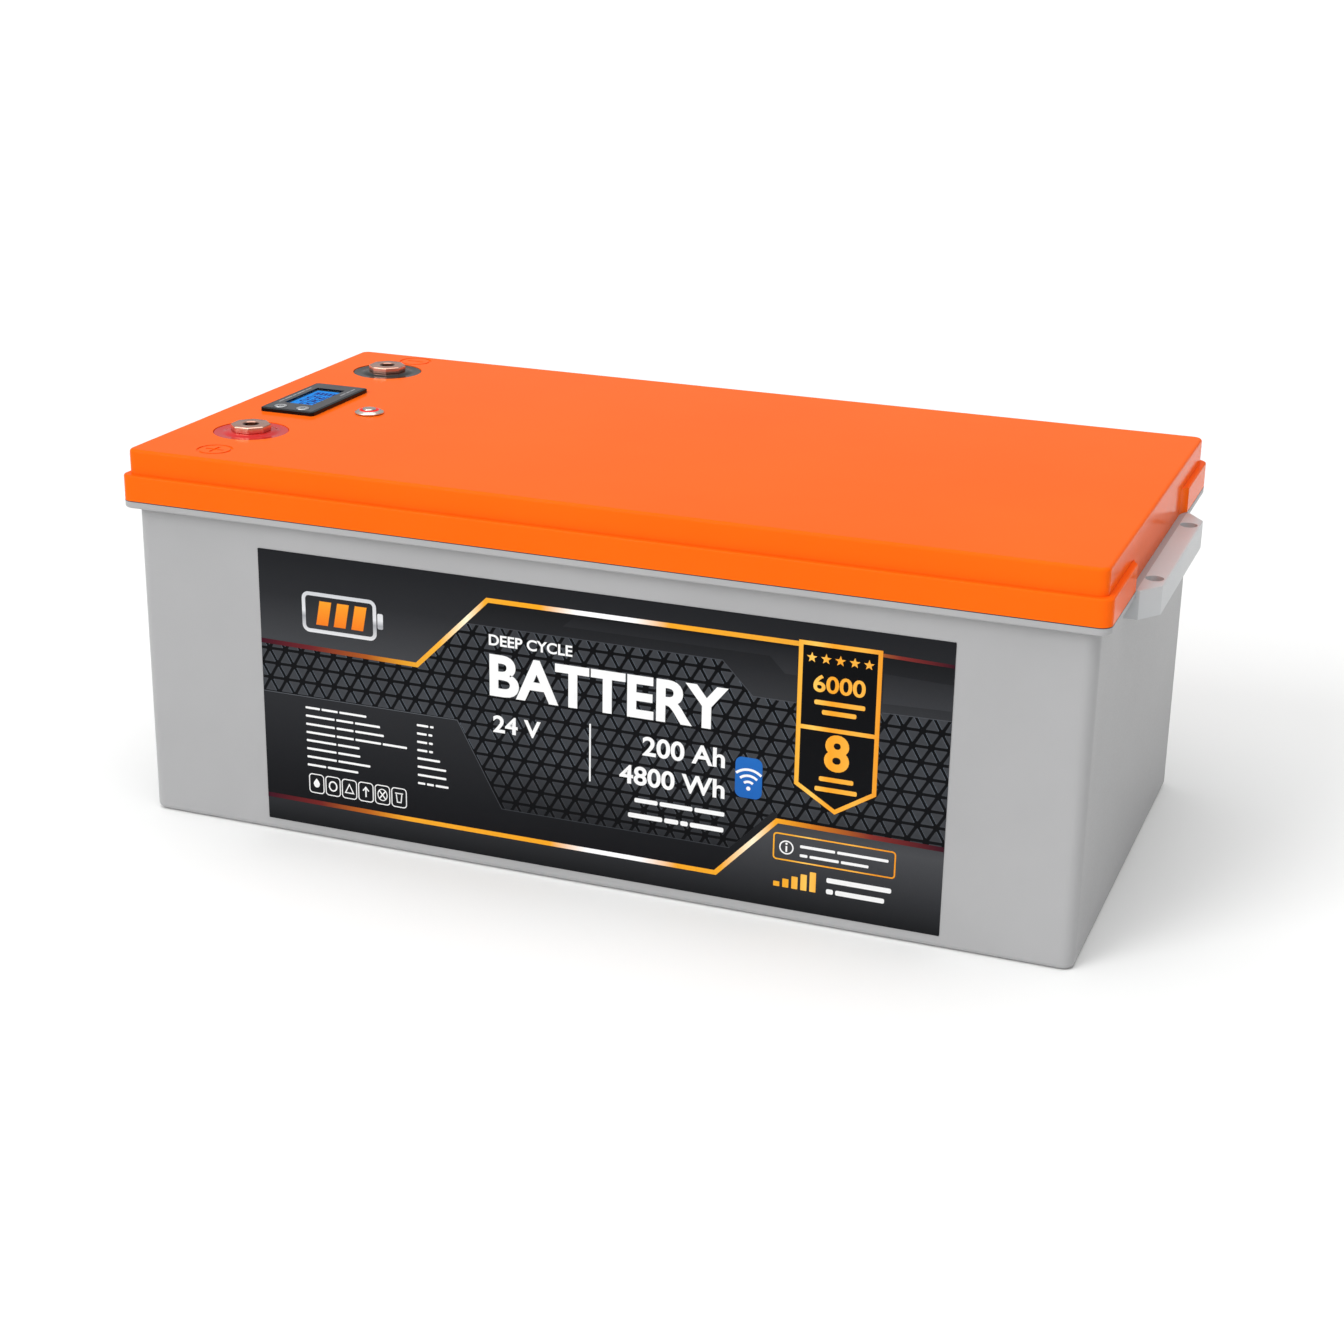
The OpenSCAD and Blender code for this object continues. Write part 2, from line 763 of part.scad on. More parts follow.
module end_pad() {
    x0 = pack_x + pack_l + plate_t;
    color([0.25, 0.25, 0.27]) translate([x0, strap_ys[0] + strap_w / 2 + 2, 20])
        cube([hollow_l / 2 - x0, strap_ys[1] - strap_ys[0] - strap_w - 4, cell_h - 30]);
}

// Board that covers the busbars, on four legs that stand on the cells
module busbar_cover() {
    color([0.80, 0.76, 0.55]) {
        translate([pack_x + 2, cover_y, cover_z]) cube([pack_l - 4, cover_t, cell_z + cell_h - 20 - cover_z]);
        translate([cell_x(2) - 26, cover_y, cell_z + 20])
            cube([cell_x(7) - cell_x(2) + 38, cover_t, cover_z - cell_z - 19.5]);
        for (k = [2, 4, 6], s = [-1, 1])
            translate([cell_x(k) + pitch / 2, cell_face_y, cell_mid_z - 14 * s]) rotate([-90, 0, 0])
                cylinder(h = cover_y - cell_face_y + 0.5, r = 2.5);
    }
}

// ---------- electronics ----------

module bms_board() {
    color([0.04, 0.30, 0.16]) translate([bms_x, -bms_w / 2, bms_z]) cube([bms_t, bms_w, bms_h]);
}

module bms_heatsink() {
    color([0.68, 0.69, 0.71]) {
        translate([bms_x - sink_t, -bms_w / 2 + 20, bms_z + 8]) cube([sink_t, bms_w - 40, bms_h - 34]);
        for (k = [0 : 11])
            translate([bms_x - sink_t - fin_h, -bms_w / 2 + 24 + k * fin_gap, bms_z + 8])
                cube([fin_h + 0.5, fin_t, bms_h - 34]);
    }
}

// Two rows of power transistors
module bms_transistors() {
    color([0.10, 0.10, 0.11]) for (k = [0 : 9], s = [0, 1])
        translate([bms_x + bms_t, -bms_w / 2 + 18 + k * 11.5, bms_z + 18 + s * 24]) cube([4.4, 9, 14]);
}

module bms_standoffs() {
    color([0.78, 0.70, 0.45]) for (y = [-71.5, 71.5], z = [6, bms_h - 6])
        translate([bms_x + bms_t, y, bms_z + z]) rotate([0, 90, 0])
            cylinder(h = pack_x - plate_t - bms_x - bms_t, r = 3);
}

// Small radio board for the phone link, upright on the main board
module radio_module() {
    color([0.05, 0.15, 0.35]) translate([bms_x + bms_t, 20, bms_z + bms_h - 20]) cube([2.4, 26, 14]);
}

// Heavy lead from the last positive post to the positive terminal
module plus_cable() {
    eye = 11;
    reach = eye + 20;
    color([0.75, 0.08, 0.08]) cable([
        [terminal_x, plus_y + eye + 9, lug_z + lug_barrel_r],
        [terminal_x, plus_y + 52, lug_z + lug_barrel_r],
        [-236, 20, 150],
        [-236, 112, 60],
        [cell_x(1) - 38, 112, bar_z(0)],
        [cell_x(1) - reach + 11, cell_face_y + post_h + lug_barrel_r, bar_z(0)]], cable_r);
    color([0.80, 0.80, 0.82]) {
        translate([terminal_x, plus_y, lug_z]) rotate([0, 0, 90]) cable_lug(eye, stud_r + 0.2);
        translate([cell_x(1), cell_face_y + post_h, bar_z(0)]) rotate([-90, 180, 0])
            cable_lug(9, bolt_r + 0.2);
    }
}

// Heavy lead from the protection board to the negative terminal
module minus_cable() {
    color([0.08, 0.08, 0.09]) cable([
        [terminal_x, minus_y - 20, lug_z + lug_barrel_r],
        [terminal_x, minus_y - 34, lug_z + lug_barrel_r],
        [bms_x - cable_r - 1, 44, bms_z + bms_h - 2]], cable_r);
    color([0.80, 0.80, 0.82]) translate([terminal_x, minus_y, lug_z]) rotate([0, 0, -90])
        cable_lug(11, stud_r + 0.2);
}

// Heavy lead from the last negative post, along the back of the pack, to the board
module pack_cable() {
    color([0.08, 0.08, 0.09]) cable([
        [cell_x(cell_count) - 20, cell_face_y + post_h + lug_barrel_r, bar_z(0)],
        [cell_x(cell_count) - 34, 117, bar_z(0) - 16],
        [-200, 117, 16],
        [-215, 90, 16],
        [bms_x - cable_r - 1, 66, bms_z + 2]], cable_r);
    color([0.80, 0.80, 0.82])
        translate([cell_x(cell_count), cell_face_y + post_h, bar_z(0)]) rotate([-90, 180, 0])
            cable_lug(9, bolt_r + 0.2);
}

// Sense wires: one loom along the pack and a drop to each busbar
module balance_harness() {
    y = cell_face_y + 8;
    z = cell_mid_z + 24;
    color([0.75, 0.72, 0.20]) {
        cable([
            [cell_x(cell_count), y, z],
            [pack_x - 8, y, z],
            [pack_x - 8, 60, bms_z + bms_h - 22]], wire_small_r);
        for (k = [1 : cell_count - 1]) {
            x = cell_x(k) + pitch / 2 + 6;
            edge = bar_z(k) + (k % 2 == 1 ? -bar_w / 2 : bar_w / 2);
            cable([[x, y, z], [x, y, edge], [x, cell_face_y + post_h + bar_t, edge]], 0.8);
        }
    }
}

container();
left_bracket();
right_bracket();
lid();
lid_seal();
front_label();
plus_surround();
minus_surround();
plus_terminal();
minus_terminal();
surround_gaskets();
terminal_washers();
terminal_nuts();
display_frame();
display_window();
display_screen();
display_board();
display_left_key();
display_right_key();
display_lead();
power_button_body();
power_button_seal();
power_button_light();
power_button_cap();
power_button_spring();
power_button_nut();
power_button_lead();
cell_1();
cell_2();
cell_3();
cell_4();
cell_5();
cell_6();
cell_7();
cell_8();
cell_posts();
cell_vents();
cell_sheets();
busbars();
busbar_nuts();
left_end_plate();
right_end_plate();
pack_straps();
base_pad();
front_pad();
end_pad();
busbar_cover();
bms_board();
bms_heatsink();
bms_transistors();
bms_standoffs();
radio_module();
plus_cable();
minus_cable();
pack_cable();
balance_harness();
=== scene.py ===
import math
import bmesh
import bpy
import numpy as np
from mathutils import Matrix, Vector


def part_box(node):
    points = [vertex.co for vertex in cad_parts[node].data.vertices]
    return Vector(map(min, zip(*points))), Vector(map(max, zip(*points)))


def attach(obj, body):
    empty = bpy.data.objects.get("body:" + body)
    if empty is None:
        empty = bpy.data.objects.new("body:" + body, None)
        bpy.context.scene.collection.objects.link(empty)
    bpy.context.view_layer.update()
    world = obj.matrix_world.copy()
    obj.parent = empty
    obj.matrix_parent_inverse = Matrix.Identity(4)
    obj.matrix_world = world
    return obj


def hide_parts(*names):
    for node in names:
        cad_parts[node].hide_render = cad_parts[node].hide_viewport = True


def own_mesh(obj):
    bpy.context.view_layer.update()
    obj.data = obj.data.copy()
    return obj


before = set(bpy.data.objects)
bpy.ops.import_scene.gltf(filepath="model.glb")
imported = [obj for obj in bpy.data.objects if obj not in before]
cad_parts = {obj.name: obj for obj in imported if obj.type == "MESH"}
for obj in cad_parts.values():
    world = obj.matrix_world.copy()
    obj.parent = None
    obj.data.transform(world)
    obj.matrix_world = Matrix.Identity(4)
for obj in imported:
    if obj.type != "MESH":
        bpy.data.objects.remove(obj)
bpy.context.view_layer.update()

mm = 0.001
print("frame loaded:", len(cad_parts), "nodes")


# Quads of a grid of rows x cols points. With wrap, the last column joins the first.
def gridFaces(rows, cols, wrap=True):
    row = np.arange(rows - 1)[:, None]
    col = np.arange(cols if wrap else cols - 1)[None, :]
    after = (col + 1) % cols
    start = row * cols
    return np.stack([start + col, start + after, start + cols + after, start + cols + col], -1).reshape(-1, 4)


# Joins parts, each (points, faces), into one piece. Seams and poles are welded and faces turned out.
def makePiece(name, parts, material, slot, replaced=(), body="root", crease=35, shade=None):
    base, points, faces = 0, [], []
    for partPoints, partFaces in parts:
        points.append(partPoints)
        faces += (partFaces + base).tolist()
        base += len(partPoints)
    mesh = bpy.data.meshes.new(name)
    mesh.from_pydata(np.concatenate(points).tolist(), [], faces)
    if shade is not None:
        mesh.attributes.new("shade", "FLOAT", "POINT").data.foreach_set("value", shade.astype(np.float32))
    work = bmesh.new()
    work.from_mesh(mesh)
    bmesh.ops.remove_doubles(work, verts=work.verts, dist=1e-6)
    bmesh.ops.recalc_face_normals(work, faces=work.faces)
    work.to_mesh(mesh)
    work.free()
    mesh.shade_smooth()
    mesh.set_sharp_from_angle(angle=math.radians(crease))
    mesh.materials.append(material)
    piece = bpy.data.objects.new(name, mesh)
    bpy.context.scene.collection.objects.link(piece)
    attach(piece, body)
    if replaced:
        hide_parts(*replaced)
    return piece


# A CAD node's box: middle of its top in metres, then half its width and its height in millimetres
def nodeFit(nodeName):
    low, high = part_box(nodeName)
    top = ((low.x + high.x) / 2, (low.y + high.y) / 2, high.z)
    return top, (high.x - low.x) / 2 / mm, (high.z - low.z) / mm


# Surface of revolution: each row is (radius, height) of the profile, each column an angle;
# x = radius cos angle, y = radius sin angle. A closed profile joins its last row to its first.
def revolve(profile, centre, count=96, closed=False, warp=None):
    profile = np.array(profile, float)
    if closed:
        profile = np.vstack([profile, profile[:1]])
    angle = np.arange(count) / count * 2 * np.pi
    radius, height = [np.repeat(column[:, None], count, 1) for column in profile.T]
    if warp is not None:
        radius, height = warp(radius, height, angle[None, :])
    points = np.stack([radius * np.cos(angle), radius * np.sin(angle), height], -1).reshape(-1, 3)
    return points * mm + np.array(centre), gridFaces(len(profile), count)


# Profile corner rounded to a quarter circle: centre plus radius times (cos, sin) from one angle to another
def corner(x, y, radius, start, end, steps=5):
    turn = np.radians(np.linspace(start, end, steps))
    return [(x + radius * math.cos(t), y + radius * math.sin(t)) for t in turn]


# Rounded rectangle as points: corner centres plus radius times (cos, sin), going round once
def roundedOutline(width, height, radius, steps=6):
    turn = np.radians(np.linspace(0, 90, steps))
    arc = np.stack([np.cos(turn), np.sin(turn)], -1) * radius
    half = np.array([width / 2 - radius, height / 2 - radius])
    quarter = [arc + half, np.stack([-arc[::-1, 0] - half[0], arc[::-1, 1] + half[1]], -1),
               -arc - half, np.stack([arc[::-1, 0] + half[0], -arc[::-1, 1] - half[1]], -1)]
    return np.concatenate(quarter)


# Plate inside a star-shaped outline: rows are middle, rim at the front, rim at the back, middle again,
# and each column is one outline point. Heights are above the sheet the plate lies on.
def fanPlate(outline, low=0.0, high=0.16, middle=None):
    outline = np.array(outline, float)
    middle = outline.mean(0) if middle is None else np.array(middle, float)
    hub = np.repeat(middle[None], len(outline), 0)
    flat = np.stack([hub, outline, outline, hub])
    height = np.repeat(np.array([high, high, low, low], float)[:, None], len(outline), 1)
    return np.concatenate([flat, height[..., None]], -1).reshape(-1, 3), gridFaces(4, len(outline))


# Plate between two closed outlines with the same number of points, such as a frame round a window
def ringPlate(outer, inner, low, high):
    flat = np.stack([inner, outer, outer, inner, inner])
    height = np.repeat(np.array([high, high, low, low, high], float)[:, None], len(outer), 1)
    return np.concatenate([flat, height[..., None]], -1).reshape(-1, 3), gridFaces(5, len(outer))


# Strip between two open edges: at each step its section is the rectangle from one edge to the other
# and from low to high. Both ends are closed.
def stripPlate(edgeA, edgeB, low, high):
    middle = (edgeA + edgeB) / 2
    section = [(edgeA, low), (edgeA, high), (edgeB, high), (edgeB, low)]
    body = np.stack([np.column_stack([side, np.full(len(side), height)]) for side, height in section], 1)
    ends = [np.repeat(np.append(middle[k], (low + high) / 2)[None], 4, 0)[None] for k in (0, -1)]
    return np.concatenate([ends[0], body, ends[1]]).reshape(-1, 3), gridFaces(len(edgeA) + 2, 4)


# Ribbon of a width along a path: each point moves sideways along the bisector of its two
# directions, by half the width over the cosine of half the turn, so corners are mitred.
def ribbon(path, width, low=0.0, high=0.16, closed=False):
    path = np.array(path, float)
    if closed:
        before, after = np.roll(path, 1, 0), np.roll(path, -1, 0)
    else:
        before = np.vstack([2 * path[0] - path[1], path[:-1]])
        after = np.vstack([path[1:], 2 * path[-1] - path[-2]])
    way1 = (path - before) / np.linalg.norm(path - before, axis=1)[:, None]
    way2 = (after - path) / np.linalg.norm(after - path, axis=1)[:, None]
    side = np.stack([-(way1 + way2)[:, 1], (way1 + way2)[:, 0]], -1)
    side /= np.linalg.norm(side, axis=1)[:, None]
    cosine = np.abs(side[:, 0] * -way1[:, 1] + side[:, 1] * way1[:, 0])
    offset = side * (width / 2 / np.clip(cosine, 0.4, 1))[:, None]
    plate = ringPlate if closed else stripPlate
    return plate(path + offset, path - offset, low, high)


# A line of small print as a row of short rounded strokes, one per word
def printLine(across, up, words, tall, gap=1.1, low=0.0, high=0.16):
    starts = across + np.concatenate([[0], np.cumsum(np.array(words[:-1], float) + gap)])
    return [fanPlate(roundedOutline(word, tall, tall * 0.3, 3) + [start + word / 2, up + tall / 2], low, high)
            for start, word in zip(starts, words)]


# Turns plates drawn in (across, up, height) millimetres into points in metres on a sheet that has
# its zero at origin, with the given directions for across, up and height
def lay(parts, origin, across=(1, 0, 0), up=(0, 1, 0), out=(0, 0, 1)):
    turn = np.array([across, up, out], float) * mm
    return [(points @ turn + np.array(origin), faces) for points, faces in parts]


# sRGB hex to the linear colour that shaders take
def paint(hexColour):
    channel = np.array([int(hexColour[i:i + 2], 16) for i in (0, 2, 4)]) / 255
    straight = np.where(channel <= 0.04045, channel / 12.92, ((channel + 0.055) / 1.055) ** 2.4)
    return (*[float(v) for v in straight], 1.0)


# Adds one node: settings go on the node, inputs are values or sockets to link from, and
# stops are (place, hex colour) pairs for a colour ramp.
def addNode(tree, kind, inputs=None, stops=None, **settings):
    made = tree.nodes.new("ShaderNode" + kind)
    for key, value in settings.items():
        setattr(made, key, value)
    for key, value in (inputs or {}).items():
        if isinstance(value, bpy.types.NodeSocket):
            tree.links.new(value, made.inputs[key])
        else:
            made.inputs[key].default_value = value
    if stops:
        ramp = made.color_ramp
        while len(ramp.elements) < len(stops):
            ramp.elements.new(0.5)
        for element, (place, colour) in zip(ramp.elements, stops):
            element.position, element.color = place, paint(colour)
    return made


# Starts a material and returns its tree, shader and Object coordinates
def startMaterial(name):
    material = bpy.data.materials.new(name)
    material.use_nodes = True
    tree = material.node_tree
    return material, tree, tree.nodes["Principled BSDF"], addNode(tree, "TexCoord").outputs["Object"]


noiseSpan = (0.3, 0.7)


# Colour between two hex values that follows a noise
def addDrift(tree, shader, noise, colours):
    ramp = addNode(tree, "ValToRGB", {"Fac": noise}, stops=list(zip(noiseSpan, colours.split())))
    tree.links.new(ramp.outputs["Color"], shader.inputs["Base Color"])
    return ramp.outputs["Color"]


# Roughness between two values that follows a noise, and a relief depthMm high
def addTexture(tree, shader, noise, rough, height=None, depthMm=0.0):
    spread = addNode(tree, "MapRange", {"Value": noise, "From Min": noiseSpan[0], "From Max": noiseSpan[1],
                                        "To Min": rough[0], "To Max": rough[1]})
    tree.links.new(spread.outputs["Result"], shader.inputs["Roughness"])
    if height is not None:
        bump = addNode(tree, "Bump", {"Height": height, "Strength": 1.0, "Distance": depthMm * mm})
        tree.links.new(bump.outputs["Normal"], shader.inputs["Normal"])
    return spread.outputs["Result"]


socketNames = {"ior": "IOR", "sheen": "Specular IOR Level", "metal": "Metallic", "coat": "Coat Weight",
               "coatRough": "Coat Roughness", "clear": "Transmission Weight", "glow": "Emission Color",
               "glowStrength": "Emission Strength"}


# A finish: two close colours drift over driftMm, a fine relief is grainMm across and depthMm high and
# stretched by stretch (x, y, z), and roughness goes between two values with it.
def finish(name, colours, driftMm, grainMm, depthMm, rough, detail=2.0, stretch=(1, 1, 1), **sockets):
    material, tree, shader, place = startMaterial(name)
    drift = addNode(tree, "TexNoise", {"Vector": place, "Scale": 1000 / driftMm, "Detail": 3.0})
    addDrift(tree, shader, drift.outputs["Fac"], colours)
    spread = addNode(tree, "Mapping", {"Vector": place, "Scale": stretch})
    grain = addNode(tree, "TexNoise", {"Vector": spread.outputs["Vector"], "Scale": 1000 / grainMm,
                                       "Detail": detail})
    addTexture(tree, shader, grain.outputs["Fac"], rough, grain.outputs["Fac"], depthMm)
    for key, value in sockets.items():
        shader.inputs[socketNames[key]].default_value = value
    return material


# Lathe-turned metal: rings about an upright axis, as a sine of the distance from (x, y), every ringMm,
# over a fine noise. Its sides may be rougher than its top. Where the shade attribute is low, its colour goes to
# a dark tarnish colour that paints tarnish and painted shade in hollows together.
def turnedMetal(name, centre, colours, driftMm, ringMm, depthMm, rough, sideRough=None, tarnishAndShade=None):
    material, tree, shader, place = startMaterial(name)
    moved = addNode(tree, "Mapping", {"Vector": place, "Location": (-centre[0], -centre[1], 0),
                                      "Scale": (1, 1, 0)})
    rings = addNode(tree, "TexWave", {"Vector": moved.outputs["Vector"], "Scale": 50 / ringMm,
                                      "Distortion": 0.6, "Detail": 1.0}, wave_type="RINGS",
                    rings_direction="SPHERICAL")
    drift = addNode(tree, "TexNoise", {"Vector": place, "Scale": 1000 / driftMm, "Detail": 4.0})
    colour = addDrift(tree, shader, drift.outputs["Fac"], colours)
    if tarnishAndShade:
        unshadedShare = addNode(tree, "Attribute", attribute_name="shade")
        tint = addNode(tree, "MixRGB", {"Fac": unshadedShare.outputs["Fac"], "Color1": paint(tarnishAndShade),
                                        "Color2": colour})
        tree.links.new(tint.outputs["Color"], shader.inputs["Base Color"])
    topRough = addTexture(tree, shader, drift.outputs["Fac"], rough, rings.outputs["Fac"], depthMm)
    shader.inputs["Metallic"].default_value = 1.0
    if sideRough:
        upright = addNode(tree, "SeparateXYZ", {"Vector": addNode(tree, "NewGeometry").outputs["Normal"]})
        faced = addNode(tree, "Mix", {"Factor": upright.outputs["Z"], "A": sideRough, "B": topRough},
                        data_type="FLOAT")
        tree.links.new(faced.outputs["Result"], shader.inputs["Roughness"])
    return material


# Injection-moulded ABS from a spark-eroded mould: satin, a fine even grain, nearly one colour
caseGrey = finish("mouldedGreyABS", "a7a7a8 adadae", driftMm=90, grainMm=0.9, depthMm=0.02,
                  rough=(0.34, 0.44), ior=1.53, sheen=0.2)
# Same grey ABS on the rope brackets, a little less rough, painted brighter and cooler than the case: painted
# light against the shade under the lid's overhang and the orange bounce from the lid
bracketGreyPaintedLight = finish("greyABSPaintedBrighter", "c6c8ca cccdce", driftMm=60, grainMm=0.9, depthMm=0.01,
                     rough=(0.3, 0.4), ior=1.53, sheen=0.2)
# Injection-moulded ABS from a polished mould: glossy, with a faint orange peel
lidOrange = finish("glossyOrangeABS", "ff6610 ff6a13", driftMm=120, grainMm=7.0, depthMm=0.006,
                   rough=(0.10, 0.16), ior=1.53, sheen=0.02)
# Injection-moulded polycarbonate, polished: deep gloss that mirrors the copper
surroundRed = finish("glossyRedPolycarbonate", "c90c10 d41517", driftMm=20, grainMm=3.0, depthMm=0.002,
                     rough=(0.03, 0.07), ior=1.585, sheen=0.3)
surroundBlack = finish("glossyBlackPolycarbonate", "060607 0b0b0c", driftMm=20, grainMm=3.0, depthMm=0.002,
                       rough=(0.03, 0.07), ior=1.585, sheen=0.4)
# Cast silicone bead, matt and slightly uneven
sealantBlack = finish("curedBlackSilicone", "17181a 202123", driftMm=12, grainMm=1.5, depthMm=0.05,
                      rough=(0.5, 0.65))
# Moulded nitrile rubber, matt
gasketRubber = finish("mouldedNitrileRubber", "0b0b0c 121213", driftMm=10, grainMm=0.5, depthMm=0.02,
                      rough=(0.6, 0.75))
# Zinc-plated steel, bright and faintly mottled by the plating
zincSteel = finish("zincPlatedSteel", "b9bcc2 cfd2d6", driftMm=6, grainMm=0.7, depthMm=0.006,
                   rough=(0.22, 0.36), metal=1.0)
# Rolled aluminium, long fine lines along the sheet
millAluminium = finish("millFinishAluminium", "c2c5c8 d2d4d7", driftMm=30, grainMm=0.8, depthMm=0.008,
                       rough=(0.28, 0.42), stretch=(1, 0.05, 1), metal=1.0)
# Rolled bare copper bar, satin, faint rolling lines
barCopper = finish("rolledCopperBar", "c98260 d8936e", driftMm=14, grainMm=0.6, depthMm=0.006,
                   rough=(0.24, 0.38), stretch=(0.06, 1, 1), metal=1.0)
# Turned brass pillar, fine lines round it
turnedBrass = finish("turnedBrass", "c9a558 d9b768", driftMm=5, grainMm=0.4, depthMm=0.005, rough=(0.2, 0.32),
                     stretch=(1, 0.1, 0.1), metal=1.0)
# Drawn aluminium can under a shrunk blue PET film, glossy with faint wrinkles
cellFilm = finish("bluePolyesterFilm", "1c4f9c 2259ab", driftMm=40, grainMm=9.0, depthMm=0.12,
                  rough=(0.2, 0.34), detail=4.0, ior=1.57, coat=0.4, coatRough=0.12)
# Woven glass and epoxy sheet, pale amber, dull
epoxySheet = finish("glassEpoxySheet", "c3b27a d1c089", driftMm=25, grainMm=0.9, depthMm=0.03,
                    rough=(0.45, 0.6))
# Closed-cell EVA foam, matt, small open pores on its cut faces
evaFoam = finish("closedCellFoam", "3a3b3e 47484b", driftMm=18, grainMm=1.6, depthMm=0.25, rough=(0.8, 0.95),
                 detail=5.0)
# Circuit laminate under a glossy green or blue solder mask, with tracks as faint relief
boardGreen = finish("greenSolderMask", "0e5a35 13683f", driftMm=4, grainMm=2.5, depthMm=0.03,
                    rough=(0.25, 0.4), ior=1.55)
boardBlue = finish("blueSolderMask", "12386e 18447f", driftMm=4, grainMm=2.5, depthMm=0.03, rough=(0.25, 0.4),
                   ior=1.55)
# Transfer-moulded epoxy, dull black, sand-like grain
chipEpoxy = finish("mouldedChipEpoxy", "151617 1d1e20", driftMm=3, grainMm=0.25, depthMm=0.01,
                   rough=(0.5, 0.66))
# Extruded silicone rubber sheaths, satin with a slight drag of the die
cableBlack = finish("blackSiliconeSheath", "111213 18191a", driftMm=25, grainMm=1.0, depthMm=0.02,
                    rough=(0.45, 0.6))
cableRed = finish("redSiliconeSheath", "b01218 bd191f", driftMm=25, grainMm=1.0, depthMm=0.02,
                  rough=(0.45, 0.6))
# Extruded PVC insulation, smoother and harder than silicone
cableYellow = finish("yellowPVCWire", "c9bb2c d6c937", driftMm=20, grainMm=0.8, depthMm=0.01,
                     rough=(0.35, 0.5))
# Fine spark-eroded black ABS of the display frame
displayBlack = finish("satinBlackABS", "0b0c0d 101112", driftMm=15, grainMm=0.35, depthMm=0.004,
                      rough=(0.16, 0.26), ior=1.53, sheen=0.15)
# Polished acrylic window, clear, with its reflection kept low so that the screen reads
windowAcrylic = finish("clearAcrylic", "f2f7fb ffffff", driftMm=10, grainMm=5.0, depthMm=0.001,
                       rough=(0.01, 0.02), clear=1.0, ior=1.04, sheen=0.05)
# Backlit blue liquid crystal, its own light even but for a faint mottle
screenBlue = finish("backlitBlueCrystal", "021c4c 03265e", driftMm=9, grainMm=0.6, depthMm=0.002,
                    rough=(0.5, 0.6), sheen=0.0, glow=paint("0092f0"), glowStrength=1.0)

cadFinish = [
    (caseGrey, "container"), (bracketGreyPaintedLight, "left_bracket right_bracket"), (lidOrange, "lid"),
    (sealantBlack, "lid_seal"), (gasketRubber, "surround_gaskets power_button_seal"),
    (zincSteel, "terminal_washers terminal_nuts power_button_spring power_button_nut busbar_nuts pack_straps"),
    (displayBlack, "display_frame"), (windowAcrylic, "display_window"), (screenBlue, "display_screen"),
    (boardGreen, "display_board bms_board"), (boardBlue, "radio_module"), (chipEpoxy, "bms_transistors"),
    (cableBlack, "display_lead minus_cable pack_cable"), (cableRed, "power_button_lead plus_cable"),
    (cableYellow, "balance_harness"), (turnedBrass, "bms_standoffs"), (barCopper, "busbars"),
    (millAluminium, "cell_posts cell_vents left_end_plate right_end_plate bms_heatsink"),
    (epoxySheet, "cell_sheets busbar_cover"), (evaFoam, "base_pad front_pad end_pad"),
    (cellFilm, " ".join("cell_" + str(k) for k in range(1, 9)))]
for material, nodeNames in cadFinish:
    for nodeName in nodeNames.split():
        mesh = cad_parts[nodeName].data
        mesh.materials.clear()
        mesh.materials.append(material)
print("case, pack and electronics finished")


# Copy of a CAD node with its sharp edges rounded: points are merged, flat faces joined, and each
# edge sharper than the limit becomes an arc of the given width.
def softenedCopy(nodeName, widthMm, limit=35):
    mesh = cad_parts[nodeName].data.copy()
    work = bmesh.new()
    work.from_mesh(mesh)
    bmesh.ops.remove_doubles(work, verts=work.verts, dist=1e-6)
    bmesh.ops.dissolve_limit(work, angle_limit=math.radians(0.5), verts=work.verts, edges=work.edges)
    work.to_mesh(mesh)
    work.free()
    piece = bpy.data.objects.new(nodeName + "_moulded", mesh)
    bpy.context.scene.collection.objects.link(piece)
    bevel = piece.modifiers.new("softEdges", "BEVEL")
    bevel.width, bevel.segments, bevel.limit_method = widthMm * mm, 3, "ANGLE"
    bevel.angle_limit = math.radians(limit)
    bpy.context.view_layer.update()
    piece.data = bpy.data.meshes.new_from_object(piece.evaluated_get(bpy.context.evaluated_depsgraph_get()))
    piece.modifiers.clear()
    piece.data.shade_smooth()
    piece.data.set_sharp_from_angle(angle=math.radians(limit))
    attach(piece, "root")
    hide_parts(nodeName)


softEdges = {"left_bracket": 0.7, "right_bracket": 0.7}
for nodeName, widthMm in softEdges.items():
    softenedCopy(nodeName, widthMm)
print("brackets softened")


terminalLook = {
    "sides": 8, "cornerSharpness": 400, "headHeight": 3.5, "bevel": 0.35, "boreRadius": 4.05,
    "threadDepth": 0.6, "pitch": 1.25, "boreLength": 12.0, "shankRadius": 8.0, "studRadius": 5.0,
    "studLength": 20.0, "columns": 128}


